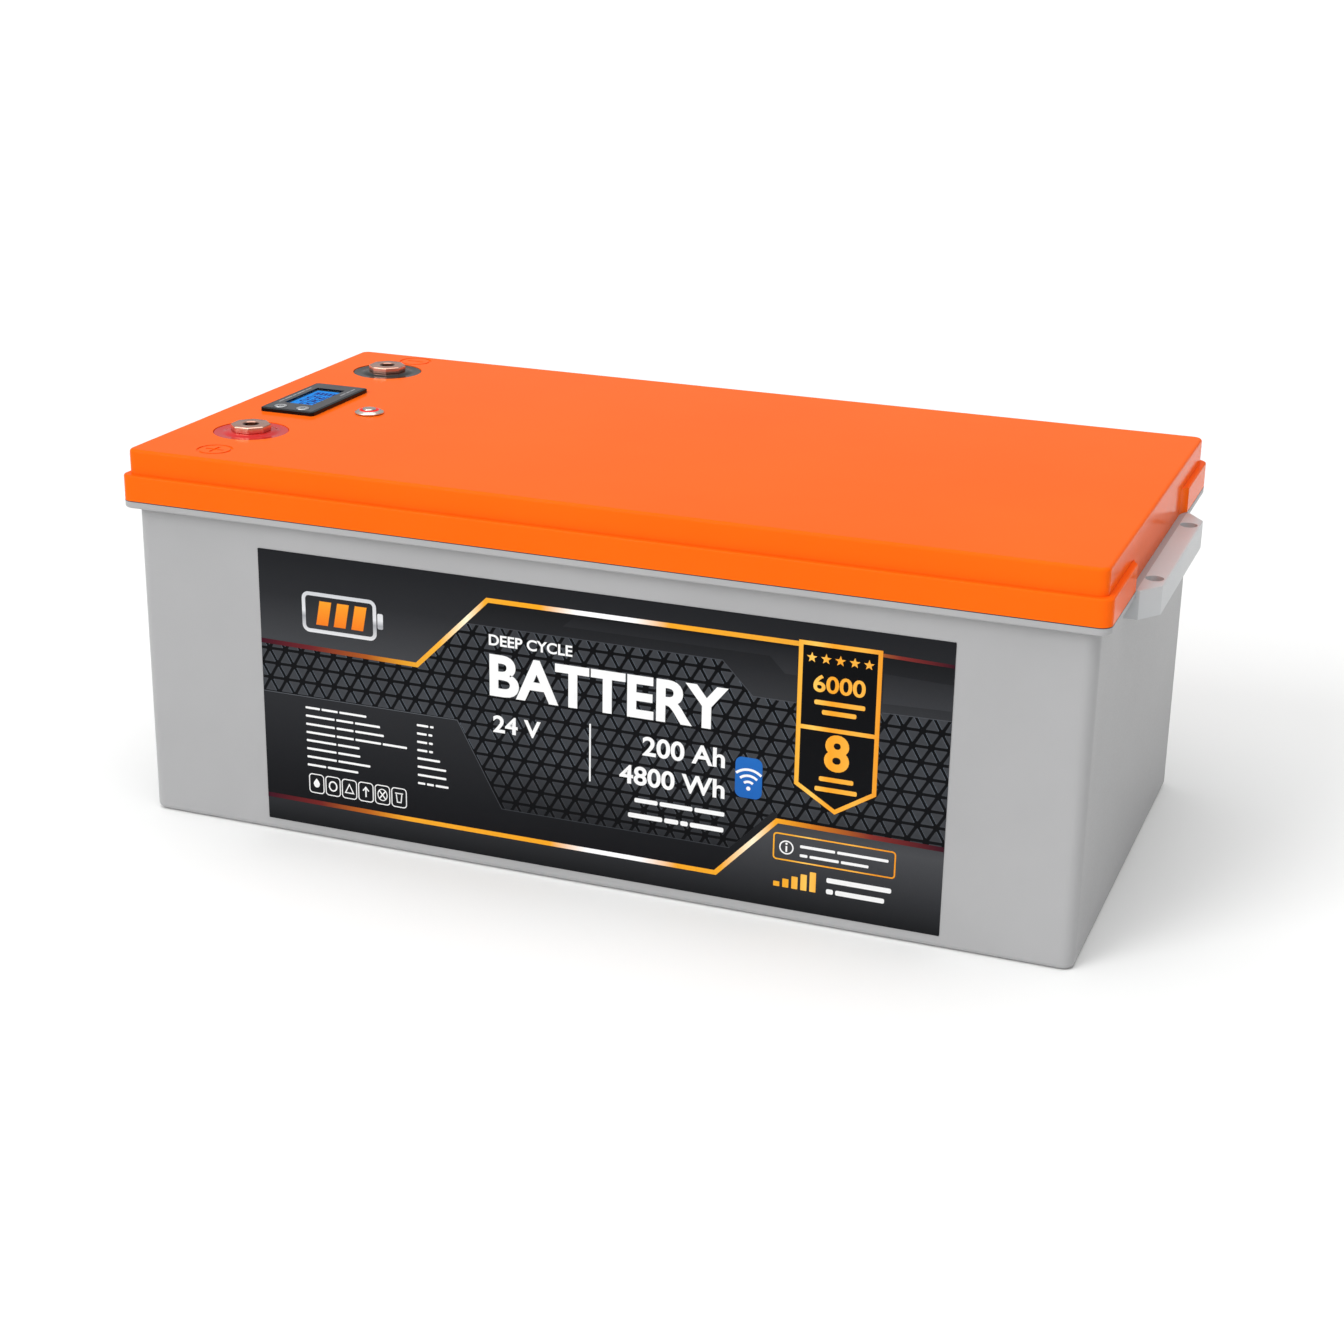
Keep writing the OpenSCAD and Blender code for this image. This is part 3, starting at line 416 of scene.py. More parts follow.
# Octagonal head, shank and stud as one revolved surface. Its outline radius is the soft octagon
# a / (sum of cos(angle - side)^p)^(1/p), eased to a circle off the head; a threaded wall moves in and
# out with a triangle wave of height over pitch plus angle, which makes the helix. Each row is
# (radius, height, share of octagon, thread), where thread is 1 in the bore and 2 on the stud.
def terminalSurface(nodeName, look):
    top, flat, height = nodeFit(nodeName)
    head, bevel, bore, deep = look["headHeight"], look["bevel"], look["boreRadius"], look["boreLength"]
    shank, stud, shankEnd = look["shankRadius"], look["studRadius"], -height + look["studLength"]
    rows = [(0, -height, 0, 0), (stud - 0.6, -height, 0, 0)]
    rows += [(stud - 0.05, z, 0, 2) for z in np.arange(-height + 0.5, shankEnd - 1.0, 0.25)]
    rows += [(stud - 0.1, shankEnd, 0, 0), (shank, shankEnd, 0, 0), (shank, -head, 0, 0)]
    rows += [(x, z, 1, 0) for x, z in corner(flat - 0.25, -head + 0.25, 0.25, -90, 0, 3)]
    rows += [(flat, -bevel - 0.12, 1, 0), (flat - 0.05, -bevel, 1, 0), (flat - bevel, -0.05, 1, 0),
             (flat - bevel - 0.12, 0, 1, 0), (bore + 1.1, 0, 0.15, 0), (bore + 0.75, 0, 0, 0),
             (bore + 0.6, -0.05, 0, 0), (bore, -0.6, 0, 0)]
    rows += [(bore, z, 0, 1) for z in np.arange(-0.75, -deep + 0.3, -0.15)]
    rows += [(bore - look["threadDepth"], -deep + 0.2, 0, 0), (0, -deep, 0, 0)]
    table = np.array(rows, float)
    octagon, thread = table[:, 2:3], table[:, 3:4]
    side = np.arange(look["sides"]) / look["sides"] * 2 * np.pi

    def warp(radius, z, angle):
        reach = np.clip(np.cos(angle[..., None] - side), 0, 1) ** look["cornerSharpness"]
        soft = reach.sum(-1) ** (-1 / look["cornerSharpness"])
        wave = np.abs(((z / look["pitch"] + angle / (2 * np.pi)) % 1) * 2 - 1)
        return radius * (1 + octagon * (soft - 1)) - look["threadDepth"] * (thread > 0) * wave, z

    # The bore and its mouth get a low shade, which the copper paints dark: tarnish and painted shade
    mouth = (table[:, :1] < bore + 0.1) & (table[:, 1:2] < 0) & (table[:, 1:2] >= -deep)
    unshadedShare = np.repeat(np.where((thread == 1) | mouth, 0.0, 1.0), look["columns"], 1).reshape(-1)
    return revolve(table[:, :2], top, look["columns"], warp=warp), unshadedShare, top


for nodeName in ("plus_terminal", "minus_terminal"):
    surface, unshadedShare, centre = terminalSurface(nodeName, terminalLook)
    # Turned C110 copper: pinkish, bright on its faced top, fine lathe rings; its tapped bore is painted dark,
    # partly tarnish and partly painted shade
    copper = turnedMetal(nodeName + "Copper", centre, "e2a892 eebdab", driftMm=7, ringMm=0.5,
                         depthMm=0.0015, rough=(0.14, 0.22), sideRough=0.33, tarnishAndShade="3a1c12")
    makePiece(nodeName + "_turned", [surface], copper, "copper", [nodeName], crease=24, shade=unshadedShare)
print("terminals turned")


surroundLook = {"collarRise": 0.8, "collarTop": 11.4, "collarFoot": 15.6, "dish": 0.18, "edge": 0.45,
                "discThickness": 2.5, "sleeveRadius": 12.0, "boreRadius": 8.06}


# Dished disc with a soft collar. From its edge in to the collar the disc sinks by dish times
# sin(pi t / 2) squared, and from there to its top the collar climbs as (1 - cos(pi t)) / 2.
def surroundSurface(nodeName, look):
    top, reach, height = nodeFit(nodeName)
    rise, edge, bore, sleeve = look["collarRise"], look["edge"], look["boreRadius"], look["sleeveRadius"]
    under, foot = -rise - look["discThickness"], -rise - look["dish"]
    profile = [(bore, -height), (sleeve, -height), (sleeve, under), (reach, under)]
    profile += corner(reach - edge, -rise - edge, edge, 0, 90, 6)
    t = np.linspace(0, 1, 14)[1:]
    across = reach - edge + (look["collarFoot"] - reach + edge) * t
    profile += list(zip(across, -rise - look["dish"] * np.sin(np.pi * t / 2) ** 2))
    across = look["collarFoot"] + (look["collarTop"] - look["collarFoot"]) * t
    profile += list(zip(across, foot * (1 + np.cos(np.pi * t)) / 2))
    profile += [(bore + 0.5, 0), (bore, -0.3)]
    return revolve(profile, top, 128, closed=True)


for sign, plastic, slot in (("plus", surroundRed, "red_plastic"), ("minus", surroundBlack, "black_plastic")):
    makePiece(sign + "_surround_moulded", [surroundSurface(sign + "_surround", surroundLook)], plastic, slot,
              [sign + "_surround"])
print("surrounds moulded")


buttonLook = {
    "flangeRound": 0.35, "flangeThick": 1.6, "ringOut": 5.45, "barrel": 6.0, "capEdge": 3.85,
    "capRound": 0.5, "dome": 0.65, "capFoot": 4.8, "footHeight": 1.7,
    "hollow": [(3.93, -1.5), (3.93, -7), (5.0, -7.2), (5.0, -9.5), (4.35, -9.6), (4.35, -16.4), (0, -16.4)]}
ringLook = {"inner": 4.12, "outer": 5.38, "round": 0.3}


# Flange and barrel of the button, revolved: flat top ring, bright bevel, rounded rim, and a stepped
# hollow for the cap and its spring
def buttonBodySurface(look):
    top, edge, height = nodeFit("power_button_body")
    thick, barrel, lip = look["flangeThick"], look["barrel"], look["ringOut"]
    profile = [(0, -height), (barrel, -height), (barrel, -thick), (edge, -thick), (edge, -1.2)]
    profile += corner(edge - look["flangeRound"], -1.25, look["flangeRound"], 10, 60, 5)
    profile += [(edge - 1.6, -0.18), (edge - 1.85, -0.04), (edge - 2.1, 0), (lip + 0.12, 0), (lip, -0.1),
                (lip, -1.5)] + look["hollow"]
    return revolve(profile, top, 96), top


# The light ring's section is a rectangle with its two upper corners rounded
def ringSurface(look, centre):
    top, _, height = nodeFit("power_button_light")
    inner, outer, bend = look["inner"], look["outer"], look["round"]
    profile = [(inner, -height), (outer, -height)] + corner(outer - bend, -bend, bend, 0, 90)
    return revolve(profile + corner(inner + bend, -bend, bend, 90, 180), (*centre[:2], top[2]), 96, True)


# Domed cap on its stepped foot: the crown is a parabola, height = -dome times (radius / edge) squared,
# and its rim is rounded
def capSurface(look):
    top, _, height = nodeFit("power_button_cap")
    edge, foot, dome, bend = look["capEdge"], look["capFoot"], look["dome"], look["capRound"]
    step = -height + look["footHeight"]
    profile = [(0, -height), (foot, -height), (foot, step), (edge, step), (edge, -dome - bend)]
    profile += corner(edge - bend, -dome - bend, bend, 0, 70, 6)
    across = np.linspace(edge - bend * 0.9, 0, 9)
    profile += list(zip(across, -dome * (across / edge) ** 2))
    return revolve(profile, top, 96)


buttonSurface, buttonCentre = buttonBodySurface(buttonLook)
# Turned and polished stainless steel, warm in the studio light, fine lathe rings
buttonSteel = turnedMetal("turnedStainless", buttonCentre, "dccfc4 e9dfd5", driftMm=5, ringMm=0.35,
                          depthMm=0.0015, rough=(0.2, 0.3))
makePiece("power_button_flange", [buttonSurface], buttonSteel, "button_metal", ["power_button_body"], crease=24)
# Red polycarbonate light guide, lit from behind
ringGlow = finish("litRedLightGuide", "a00402 b80a06", driftMm=3, grainMm=0.5, depthMm=0.004,
                  rough=(0.3, 0.4), ior=1.585, sheen=0.15, glow=paint("f80a04"), glowStrength=0.85)
makePiece("power_button_ring", [ringSurface(ringLook, buttonCentre)], ringGlow, "light_red",
          ["power_button_light"])
makePiece("power_button_dome", [capSurface(buttonLook)], buttonSteel, "button_metal", ["power_button_cap"],
          body="power_cap", crease=24)

springLook = {"wire": 0.3, "turns": 4, "levelTurns": 0.75, "sides": 10, "steps": 180, "travel": 1.5}


# Coil of round wire under the cap. Its height climbs with the angle, but stays level for levelTurns at
# each end; the section is a circle across the coil, and a point closes each end.
def springSurface(look):
    top, reach, height = nodeFit("power_button_spring")
    foot = np.array([top[0], top[1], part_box("power_button_spring")[0].z])
    along = np.linspace(0, look["turns"], look["steps"])
    climb = np.clip((along - look["levelTurns"]) / (look["turns"] - 2 * look["levelTurns"]), 0, 1)
    z = look["wire"] + climb * (height - 2 * look["wire"])
    thick = np.full(look["steps"], look["wire"])
    along, z, thick = [np.concatenate([v[:1], v, v[-1:]]) for v in (along, z, thick)]
    thick[[0, -1]] = 0
    turn = along[:, None] * 2 * np.pi
    section = np.arange(look["sides"]) / look["sides"] * 2 * np.pi
    radius = reach - look["wire"] + thick[:, None] * np.cos(section)
    z = z[:, None] + thick[:, None] * np.sin(section)
    points = np.stack([radius * np.cos(turn), radius * np.sin(turn), z], -1).reshape(-1, 3) * mm + foot
    return (points, gridFaces(len(z), look["sides"])), foot, height


coil, coilFoot, coilHeight = springSurface(springLook)
coilPiece = makePiece("power_button_coil", [coil], zincSteel, "steel", ["power_button_spring"])
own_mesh(coilPiece)
print("power button turned")


partingShadowLook = {"length": 520.0, "width": 269.0, "round": 6.0, "joint": 176.0, "bracketHalf": 73.0,
               "thickness": 0.6, "low": -0.4, "high": 0.05, "proud": 0.03}


# Thin black bead along the joint between lid and container, round each long side from one bracket to the
# other: partly the line of adhesive, partly a painted shadow of the gap under the lid's skirt
def partingBeads(look):
    inset = look["thickness"] / 2 - look["proud"]
    x, y, bend = look["length"] / 2 - inset, look["width"] / 2 - inset, look["round"] - inset
    front = [(x, -look["bracketHalf"])] + corner(x - bend, -y + bend, bend, 0, -90, 9)
    front += corner(-x + bend, -y + bend, bend, -90, -180, 9) + [(-x, -look["bracketHalf"])]
    back = [(-across, -up) for across, up in front]
    return [ribbon(path, look["thickness"], look["low"], look["high"]) for path in (front, back)]


# Black bead at the joint: adhesive line and painted shadow of the gap
makePiece("parting_bead_and_shadow", lay(partingBeads(partingShadowLook), (0, 0, partingShadowLook["joint"] * mm)), sealantBlack,
          "sealant")
print("parting bead laid")


displayLook = {
    "faceRaise": 0.12, "faceInset": 1.5, "windowGap": 0.15, "windowHalf": (8.6, 19.0),
    "windowShift": (-1.0, 2.0), "keyRadius": 3.6, "keyGap": 0.25, "keyMargin": 0.7,
    "screenRows": ("256", "230", "100"), "digit": (3.1, 5.4), "segment": 1.1, "ink": (0.02, 0.06)}
keyLook = {"edge": 3.6, "dish": 0.16, "round": 0.3, "foot": 4.1, "footHeight": 1.2, "sign": (-0.2, -0.1)}
frameLow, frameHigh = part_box("display_frame")
frameTop = nodeFit("display_frame")[0]
frameSize = np.array([(frameHigh.x - frameLow.x) / mm, (frameHigh.y - frameLow.y) / mm])
keyTop = {side: nodeFit("display_" + side + "_key")[0] for side in ("left", "right")}
keyCentre = {side: (np.array(top[:2]) - frameTop[:2]) / mm for side, top in keyTop.items()}


# Printed face of the display: a ring round the window and a cell with a round hole for each key.
# Each cell's edge is where the ray at an angle meets the cell's rectangle.
def displayFace(look):
    x, y = frameSize / 2 - look["faceInset"]
    split = keyCentre["left"][1] + look["keyRadius"] + look["keyMargin"]
    (wide, tall), (cx, cy) = np.array(look["windowHalf"]) + look["windowGap"], look["windowShift"]
    low, high = -0.2, look["faceRaise"]
    turn = np.linspace(0, 2 * np.pi, 72, endpoint=False)
    ray = np.stack([np.cos(turn), np.sin(turn)], -1)

    def boxHit(origin, left, right, bottom, top):
        with np.errstate(divide="ignore"):
            tx = np.where(ray[:, 0] > 0, right - origin[0], left - origin[0]) / ray[:, 0]
            ty = np.where(ray[:, 1] > 0, top - origin[1], bottom - origin[1]) / ray[:, 1]
        return origin + ray * np.minimum(np.abs(tx), np.abs(ty))[:, None]

    outer = np.array([(-x, split), (x, split), (x, y), (-x, y)])
    inner = np.array([(cx - wide, cy - tall), (cx + wide, cy - tall), (cx + wide, cy + tall),
                      (cx - wide, cy + tall)])
    parts = [ringPlate(outer, inner, low, high)]
    for side, (left, right) in (("left", (-x, 0)), ("right", (0, x))):
        hole = keyCentre[side] + ray * (look["keyRadius"] + look["keyGap"])
        parts.append(ringPlate(boxHit(keyCentre[side], left, right, -y, split), hole, low, high))
    return lay(parts, frameTop)


# Matt printed polyester overlay in dark grey, fine screen-print grain
overlayGrey = finish("printedGreyOverlay", "505154 58595c", driftMm=12, grainMm=0.3, depthMm=0.004,
                     rough=(0.34, 0.46), ior=1.5, sheen=0.1)
makePiece("display_face", displayFace(displayLook), overlayGrey, "display_plastic")

# Pale grey screen-print ink
faceInk = finish("paleScreenPrint", "a5a7aa b4b6b8", driftMm=5, grainMm=0.4, depthMm=0.002, rough=(0.4, 0.5))
# Small print beside the window, running along it: start, words and distance from the frame's middle
smallPrint = []
for start, words, shift in ((-17, [5.5, 8, 4, 9, 6.5], -12.6), (9, [6, 4.5, 5], 11.6)):
    line = printLine(start, 0, words, 0.75, 0.9, displayLook["faceRaise"], displayLook["faceRaise"] + 0.02)
    smallPrint += lay(line, (frameTop[0] + shift * mm, *frameTop[1:]), (0, 1, 0), (-1, 0, 0))
makePiece("display_small_print", smallPrint, faceInk, "display_plastic")

segmentEnds = {"a": ((0, 2), (1, 2)), "b": ((1, 2), (1, 1)), "c": ((1, 1), (1, 0)), "d": ((0, 0), (1, 0)),
               "e": ((0, 1), (0, 0)), "f": ((0, 2), (0, 1)), "g": ((0, 1), (1, 1))}
digitSegments = {"0": "abcdef", "1": "bc", "2": "abged", "3": "abgcd", "5": "afgcd", "6": "afgedc"}


# One lit segment: a six-cornered bar with pointed ends between two corners of the digit
def segmentPlate(start, end, width, low, high):
    way = (end - start) / np.linalg.norm(end - start)
    side = np.array([-way[1], way[0]]) * width / 2
    start, end = start + way * 0.12, end - way * 0.12
    tip = way * width / 2
    return fanPlate([start, start + tip + side, end - tip + side, end, end - tip - side, start + tip - side],
                    low, high)


# What the screen shows: a row of charge bars and three rows of seven-segment figures
def screenMarks(look):
    ink, (wide, tall), (cx, cy) = look["ink"], look["digit"], look["windowShift"]
    barTop = cy + look["windowHalf"][1] - 2.6
    parts = [ribbon(roundedOutline(13.4, 5.6, 0.5) + [cx - 0.4, barTop - 2.8], 0.45, *ink, True),
             fanPlate(roundedOutline(0.9, 2.4, 0.3) + [cx + 7.0, barTop - 2.8], *ink)]
    parts += [fanPlate(roundedOutline(1.7, 4.0, 0.2) + [cx - 5.6 + 2.55 * k, barTop - 2.8], *ink)
              for k in range(5)]
    for row, figures in enumerate(look["screenRows"]):
        base = barTop - 14.2 - row * 8.2
        for k, figure in enumerate(figures):
            foot = np.array([cx - 6.6 + k * (wide + 1.25), base])
            for segment in digitSegments[figure]:
                start, end = [foot + np.array(place) * [wide, tall / 2] for place in segmentEnds[segment]]
                parts.append(segmentPlate(start, end, look["segment"], *ink))
        parts.append(ribbon(np.array([(0, 0), (0.7, -2.2), (1.4, 0)]) + [cx + 6.0, base + 2.4], 0.4, *ink))
    point = [cx - 6.6 + 2 * wide + 1.9, barTop - 14.2]
    return parts + [fanPlate(roundedOutline(0.8, 0.8, 0.2) + point, *ink)]


# Dark liquid-crystal segments against the blue backlight
crystalDark = finish("darkCrystalSegments", "01062a 020838", driftMm=4, grainMm=0.5, depthMm=0.002,
                     rough=(0.5, 0.6), sheen=0.0, glow=paint("000c96"), glowStrength=0.5)
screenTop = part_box("display_screen")[1].z
makePiece("display_segments", lay(screenMarks(displayLook), (*frameTop[:2], screenTop)), crystalDark,
          "screen_blue")


# Pressed key: a dished crown, height = dish times ((radius / edge) squared - 1), a rounded rim and its foot
def keySurface(side, look):
    top, _, height = nodeFit("display_" + side + "_key")
    edge, bend, foot, step = look["edge"], look["round"], look["foot"], -height + look["footHeight"]
    across = np.linspace(edge - 0.45, 0, 8)
    profile = [(0, -height), (foot, -height), (foot, step), (edge, step), (edge, -bend)]
    profile += corner(edge - bend, -bend, bend, 10, 90, 5)
    profile += list(zip(across, -look["dish"] * (1 - (across / edge) ** 2) - 0.02))
    return revolve(profile, top, 72)


# Plain signs filled into the keys: an open ring with a bar, and a pair of arrows
openTurn = np.radians(np.linspace(125, 415, 22))
openRing = np.stack([np.cos(openTurn), np.sin(openTurn)], -1) * 1.5
keySigns = {"left": [(openRing, 0.4), ([(0, 0.4), (0, 2.0)], 0.4)],
            "right": [([(-1.2, 0.5), (0, 1.6), (1.2, 0.5)], 0.45),
                      ([(-1.2, -0.5), (0, -1.6), (1.2, -0.5)], 0.45)]}
# Dark enamel filled into the key's engraving
keyInk = finish("darkKeyEnamel", "303236 3a3c40", driftMm=2, grainMm=0.3, depthMm=0.002, rough=(0.35, 0.45))
for side, signPaths in keySigns.items():
    # Pressed aluminium, satin-chromed, spun rings
    keyChrome = turnedMetal(side + "KeySatinChrome", keyTop[side], "d4d6d8 e4e5e7", driftMm=3, ringMm=0.4,
                            depthMm=0.0015, rough=(0.26, 0.38))
    keyName = "display_" + side + "_key"
    makePiece(keyName + "_cap", [keySurface(side, keyLook)], keyChrome, "silver_metal", [keyName],
              body=side + "_key")
    signPlates = [ribbon(path, width, *keyLook["sign"]) for path, width in signPaths]
    makePiece(keyName + "_sign", lay(signPlates, keyTop[side]), keyInk, "display_plastic", body=side + "_key")
print("display assembled")


labelLow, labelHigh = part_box("front_label")
labelWide, labelTall = (labelHigh.x - labelLow.x) / mm, (labelHigh.z - labelLow.z) / mm
labelStart = {"X": labelLow.x / mm, "Z": labelLow.z / mm}
# Artwork is in millimetres from the label's lower left corner; badge, notice and radio give middles
labelLook = {
    "lift": 0.03, "ink": 0.16, "lineWidth": 2.5, "lineFront": 0.15, "panelFront": 0.11, "badgeLine": 2.2,
    "tilePitch": 9.4, "tileRow": 8.1, "groove": 0.74,
    "upperLine": [(0, 101), (90.6, 100), (130.6, 140.2), (295, 140.3), (335.2, 140.2), (371, 139.4)],
    "lowerLine": [(0, 13.6), (76, 13.2), (254.8, 13.2), (286.5, 46.8), (371, 46)],
    "badge": [(295, 142.6), (335.6, 142.6), (335.6, 67.6), (315.6, 55), (295, 67.6)],
    "badgeMiddle": (315.3, 100), "notice": (291.8, 33.4), "radio": (271.1, 67)}
print("label", labelWide, labelTall)


# Makes a piece of the label from artwork: across is from the left edge, up from the bottom edge,
# height off the film
def printed(name, parts, ink, **settings):
    onLabel = lay(parts, (labelLow.x, labelLow.y, labelLow.z), (1, 0, 0), (0, 0, 1), (0, -1, 0))
    return makePiece("front_label_" + name, onLabel, ink, "label_film", **settings)


# Height of a line of artwork at each place across the label
def lineAt(line, across):
    line = np.array(line, float)
    return np.interp(across, line[:, 0], line[:, 1])


# Panel between two lines of artwork, sampled where either of them bends
def bandPlate(bottom, top, low, high):
    bottom, top = np.array(bottom, float), np.array(top, float)
    start, end = max(bottom[0, 0], top[0, 0]), min(bottom[-1, 0], top[-1, 0])
    across = np.unique(np.concatenate([bottom[:, 0], top[:, 0]]))
    across = across[(across >= start) & (across <= end)]
    return stripPlate(np.stack([across, lineAt(bottom, across)], -1),
                      np.stack([across, lineAt(top, across)], -1), low, high)


# Printed ink, satin, whose colour follows one axis of the label: stops are (millimetres, hex colour)
def gradientInk(name, axis, stops):
    material, tree, shader, place = startMaterial(name)
    parts = addNode(tree, "SeparateXYZ", {"Vector": place})
    low, high = stops[0][0], stops[-1][0]
    along = addNode(tree, "MapRange", {"Value": parts.outputs[axis], "From Min": (labelStart[axis] + low) * mm,
                                       "From Max": (labelStart[axis] + high) * mm})
    ramp = addNode(tree, "ValToRGB", {"Fac": along.outputs["Result"]},
                   stops=[((at - low) / (high - low), colour) for at, colour in stops])
    tree.links.new(ramp.outputs["Color"], shader.inputs["Base Color"])
    grain = addNode(tree, "TexNoise", {"Vector": place, "Scale": 1000 / 0.5, "Detail": 2.0})
    addTexture(tree, shader, grain.outputs["Fac"], (0.3, 0.4), grain.outputs["Fac"], 0.002)
    shader.inputs["Specular IOR Level"].default_value = 0.06
    return material


# Black vinyl film, satin laminate, printed with a charcoal gradient
filmInk = gradientInk("printedCharcoalVinyl", "Z", [
    (0, "17181a"), (14, "2c2d30"), (40, "46474a"), (60, "2c2d30"), (103, "3f4043"), (128, "28292c"),
    (labelTall, "1d1e21")])
panelInk = gradientInk("printedDarkPanels", "Z", [
    (13, "131316"), (28, "18191c"), (73, "292a2d"), (110, "333437"), (126, "232427"), (140, "151618")])
bedInk = gradientInk("printedGrooveShadow", "Z", [(12, "060709"), (75, "0c0d10"), (142, "060709")])
# Gold foil effect printed as a gradient with two white glints
foilUpper = gradientInk("printedGoldLineUpper", "X", [
    (0, "3c1020"), (30, "6a2226"), (62, "a5531f"), (84, "e09a2a"), (104, "f3b03a"), (119, "fff0cf"),
    (129, "f0a82f"), (160, "f6a51e"), (180, "fdfdff"), (208, "fdfdff"), (228, "f3a526"), (292, "eba433"),
    (345, "7a2c28"), (371, "35101e")])
foilLower = gradientInk("printedGoldLineLower", "X", [
    (0, "3a0f1f"), (32, "6e2422"), (62, "b8641f"), (84, "f0a42b"), (165, "f3a526"), (186, "fdfdff"),
    (214, "fdfdff"), (234, "f3a526"), (258, "f2a72c"), (274, "fff0cf"), (285, "f3a526"), (305, "c9741f"),
    (335, "7a2c28"), (371, "35101e")])
badgeGold = gradientInk("printedBadgeGold", "X", [
    (293, "f0a92f"), (303, "ffc65c"), (312, "f4a12a"), (326, "f7b347"), (337, "ea9526")])
whiteInk = gradientInk("printedWhiteInk", "Z", [(0, "ececec"), (labelTall, "f4f4f4")])
blueInk = gradientInk("printedBlueInk", "Z", [(10, "1a4f9e"), (80, "2468b8")])
silverInk = gradientInk("printedSilverInk", "Z", [
    (106, "f2f2f4"), (118, "9c9ea3"), (121, "dcdde0"), (136, "c0c2c6")])
emberInk = gradientInk("printedOrangeInk", "Z", [(108, "e8641b"), (132, "f7a52c")])
stepInk = gradientInk("printedStepPanels", "Z", [(108, "3d3e42"), (124, "2f3033"), (138, "1b1c1f")])
edgeInk = gradientInk("printedPanelEdges", "Z", [(20, "2e3034"), (75, "55585d"), (135, "3c3e43")])

# The film itself, a thin plate with barely rounded corners, and the dark bed under the tiles
film = roundedOutline(labelWide, labelTall, 0.6) + np.array([labelWide, labelTall]) / 2
printed("film", [fanPlate(film, -(labelHigh.y - labelLow.y) / mm, 0)], filmInk, replaced=["front_label"])
printed("bed", [bandPlate(labelLook["lowerLine"], labelLook["upperLine"], -0.02, labelLook["lift"])], bedInk)


# Rows of triangular tiles, points up and points down in turn. Corner k of a tile is its centre plus
# reach times (cos, sin) of 90 + 120 k degrees; each corner is cut in two so that an edge keeps its own
# shade. Rows of points: middle, inner ring, front rim, back rim.
def tileField(look):
    pitch, row = look["tilePitch"], look["tileRow"]
    across, rise = np.meshgrid(np.arange(-2, labelWide / pitch + 2), np.arange(0, labelTall / row + 1))
    centres, flips = [], []
    for flip in (0, 1):
        shift = (rise % 2) * pitch / 2 + flip * pitch / 2
        middle = np.stack([across * pitch + shift, rise * row + row * (1 / 3 + flip / 3)], -1)
        centres.append(middle.reshape(-1, 2))
        flips.append(np.full(across.size, flip))
    centres, flips = np.concatenate(centres), np.concatenate(flips)
    x, z = centres.T
    keep = (x > -pitch / 3) & (x < labelWide + pitch / 3)
    keep &= (z > lineAt(look["lowerLine"], x) - 3) & (z < lineAt(look["upperLine"], x) + 3)
    keep &= ~((z < 66) & (x < 106)) & ~((x > 299) & (x < 331) & (z > 72))
    centres, flips = centres[keep], flips[keep]
    turn = np.radians(90 + 120 * np.arange(3))
    tips = np.stack([np.cos(turn) * pitch / math.sqrt(3), np.sin(turn) * row * 2 / 3], -1)
    tips *= 1 - look["groove"] * 3 / row
    cut = 0.07
    ahead, behind = np.roll(tips, -1, 0), np.roll(tips, 1, 0)
    rim = np.stack([tips * (1 - cut) + behind * cut, tips * (1 - cut) + ahead * cut], 1).reshape(-1, 2)
    scale, height = np.array([0.0, 0.86, 1.0, 1.0]), np.array([0.075, 0.075, 0.06, 0.0])
    sign = np.where(flips == 1, -1.0, 1.0)[:, None, None, None]
    flat = scale[None, :, None, None] * rim[None, None] * sign + centres[:, None, None, :]
    flat[..., 0] = np.clip(flat[..., 0], 0, labelWide)
    tall = np.broadcast_to(height[None, :, None, None], flat.shape[:3] + (1,))
    points = np.concatenate([flat, tall], -1).reshape(-1, 3)
    faces = (gridFaces(4, 6)[None] + 24 * np.arange(len(centres))[:, None, None]).reshape(-1, 4)
    edgeShade = np.array([0.95, 0.1, 0.1, 0.35, 0.35, 0.95])
    shade = np.stack([np.full(6, 0.3), np.full(6, 0.34), edgeShade, edgeShade * 0.2])
    return (points, faces), np.tile(shade.reshape(-1), len(centres))


# Charcoal tiles with a cool light along one edge, from the shade each corner carries, and darker
# towards the label's foot
def tileInk(name, stops):
    material, tree, shader, place = startMaterial(name)
    tone = addNode(tree, "Attribute", attribute_name="shade")
    mottle = addNode(tree, "TexNoise", {"Vector": place, "Scale": 16.0, "Detail": 2.0})
    mixed = addNode(tree, "Math", {0: mottle.outputs["Fac"], 1: 0.30}, operation="MULTIPLY")
    total = addNode(tree, "Math", {0: tone.outputs["Fac"], 1: mixed.outputs["Value"]}, operation="ADD")
    level = addNode(tree, "SeparateXYZ", {"Vector": place})
    foot = addNode(tree, "MapRange", {
        "Value": level.outputs["Z"], "From Min": (labelStart["Z"] + 24) * mm,
        "From Max": (labelStart["Z"] + 58) * mm, "To Min": 0.4, "To Max": 1.0})
    total = addNode(tree, "Math", {0: total.outputs["Value"], 1: foot.outputs["Result"]}, operation="MULTIPLY")
    ramp = addNode(tree, "ValToRGB", {"Fac": total.outputs["Value"]}, stops=stops)
    tree.links.new(ramp.outputs["Color"], shader.inputs["Base Color"])
    addTexture(tree, shader, mottle.outputs["Fac"], (0.3, 0.4))
    shader.inputs["Specular IOR Level"].default_value = 0.08
    return material


tiles, tileShade = tileField(labelLook)
tilePrint = tileInk("printedCharcoalTiles", [
    (0.1, "0e0f12"), (0.45, "393b3f"), (0.7, "484b50"), (0.99, "64707c")])
printed("tiles", [tiles], tilePrint, shade=tileShade)

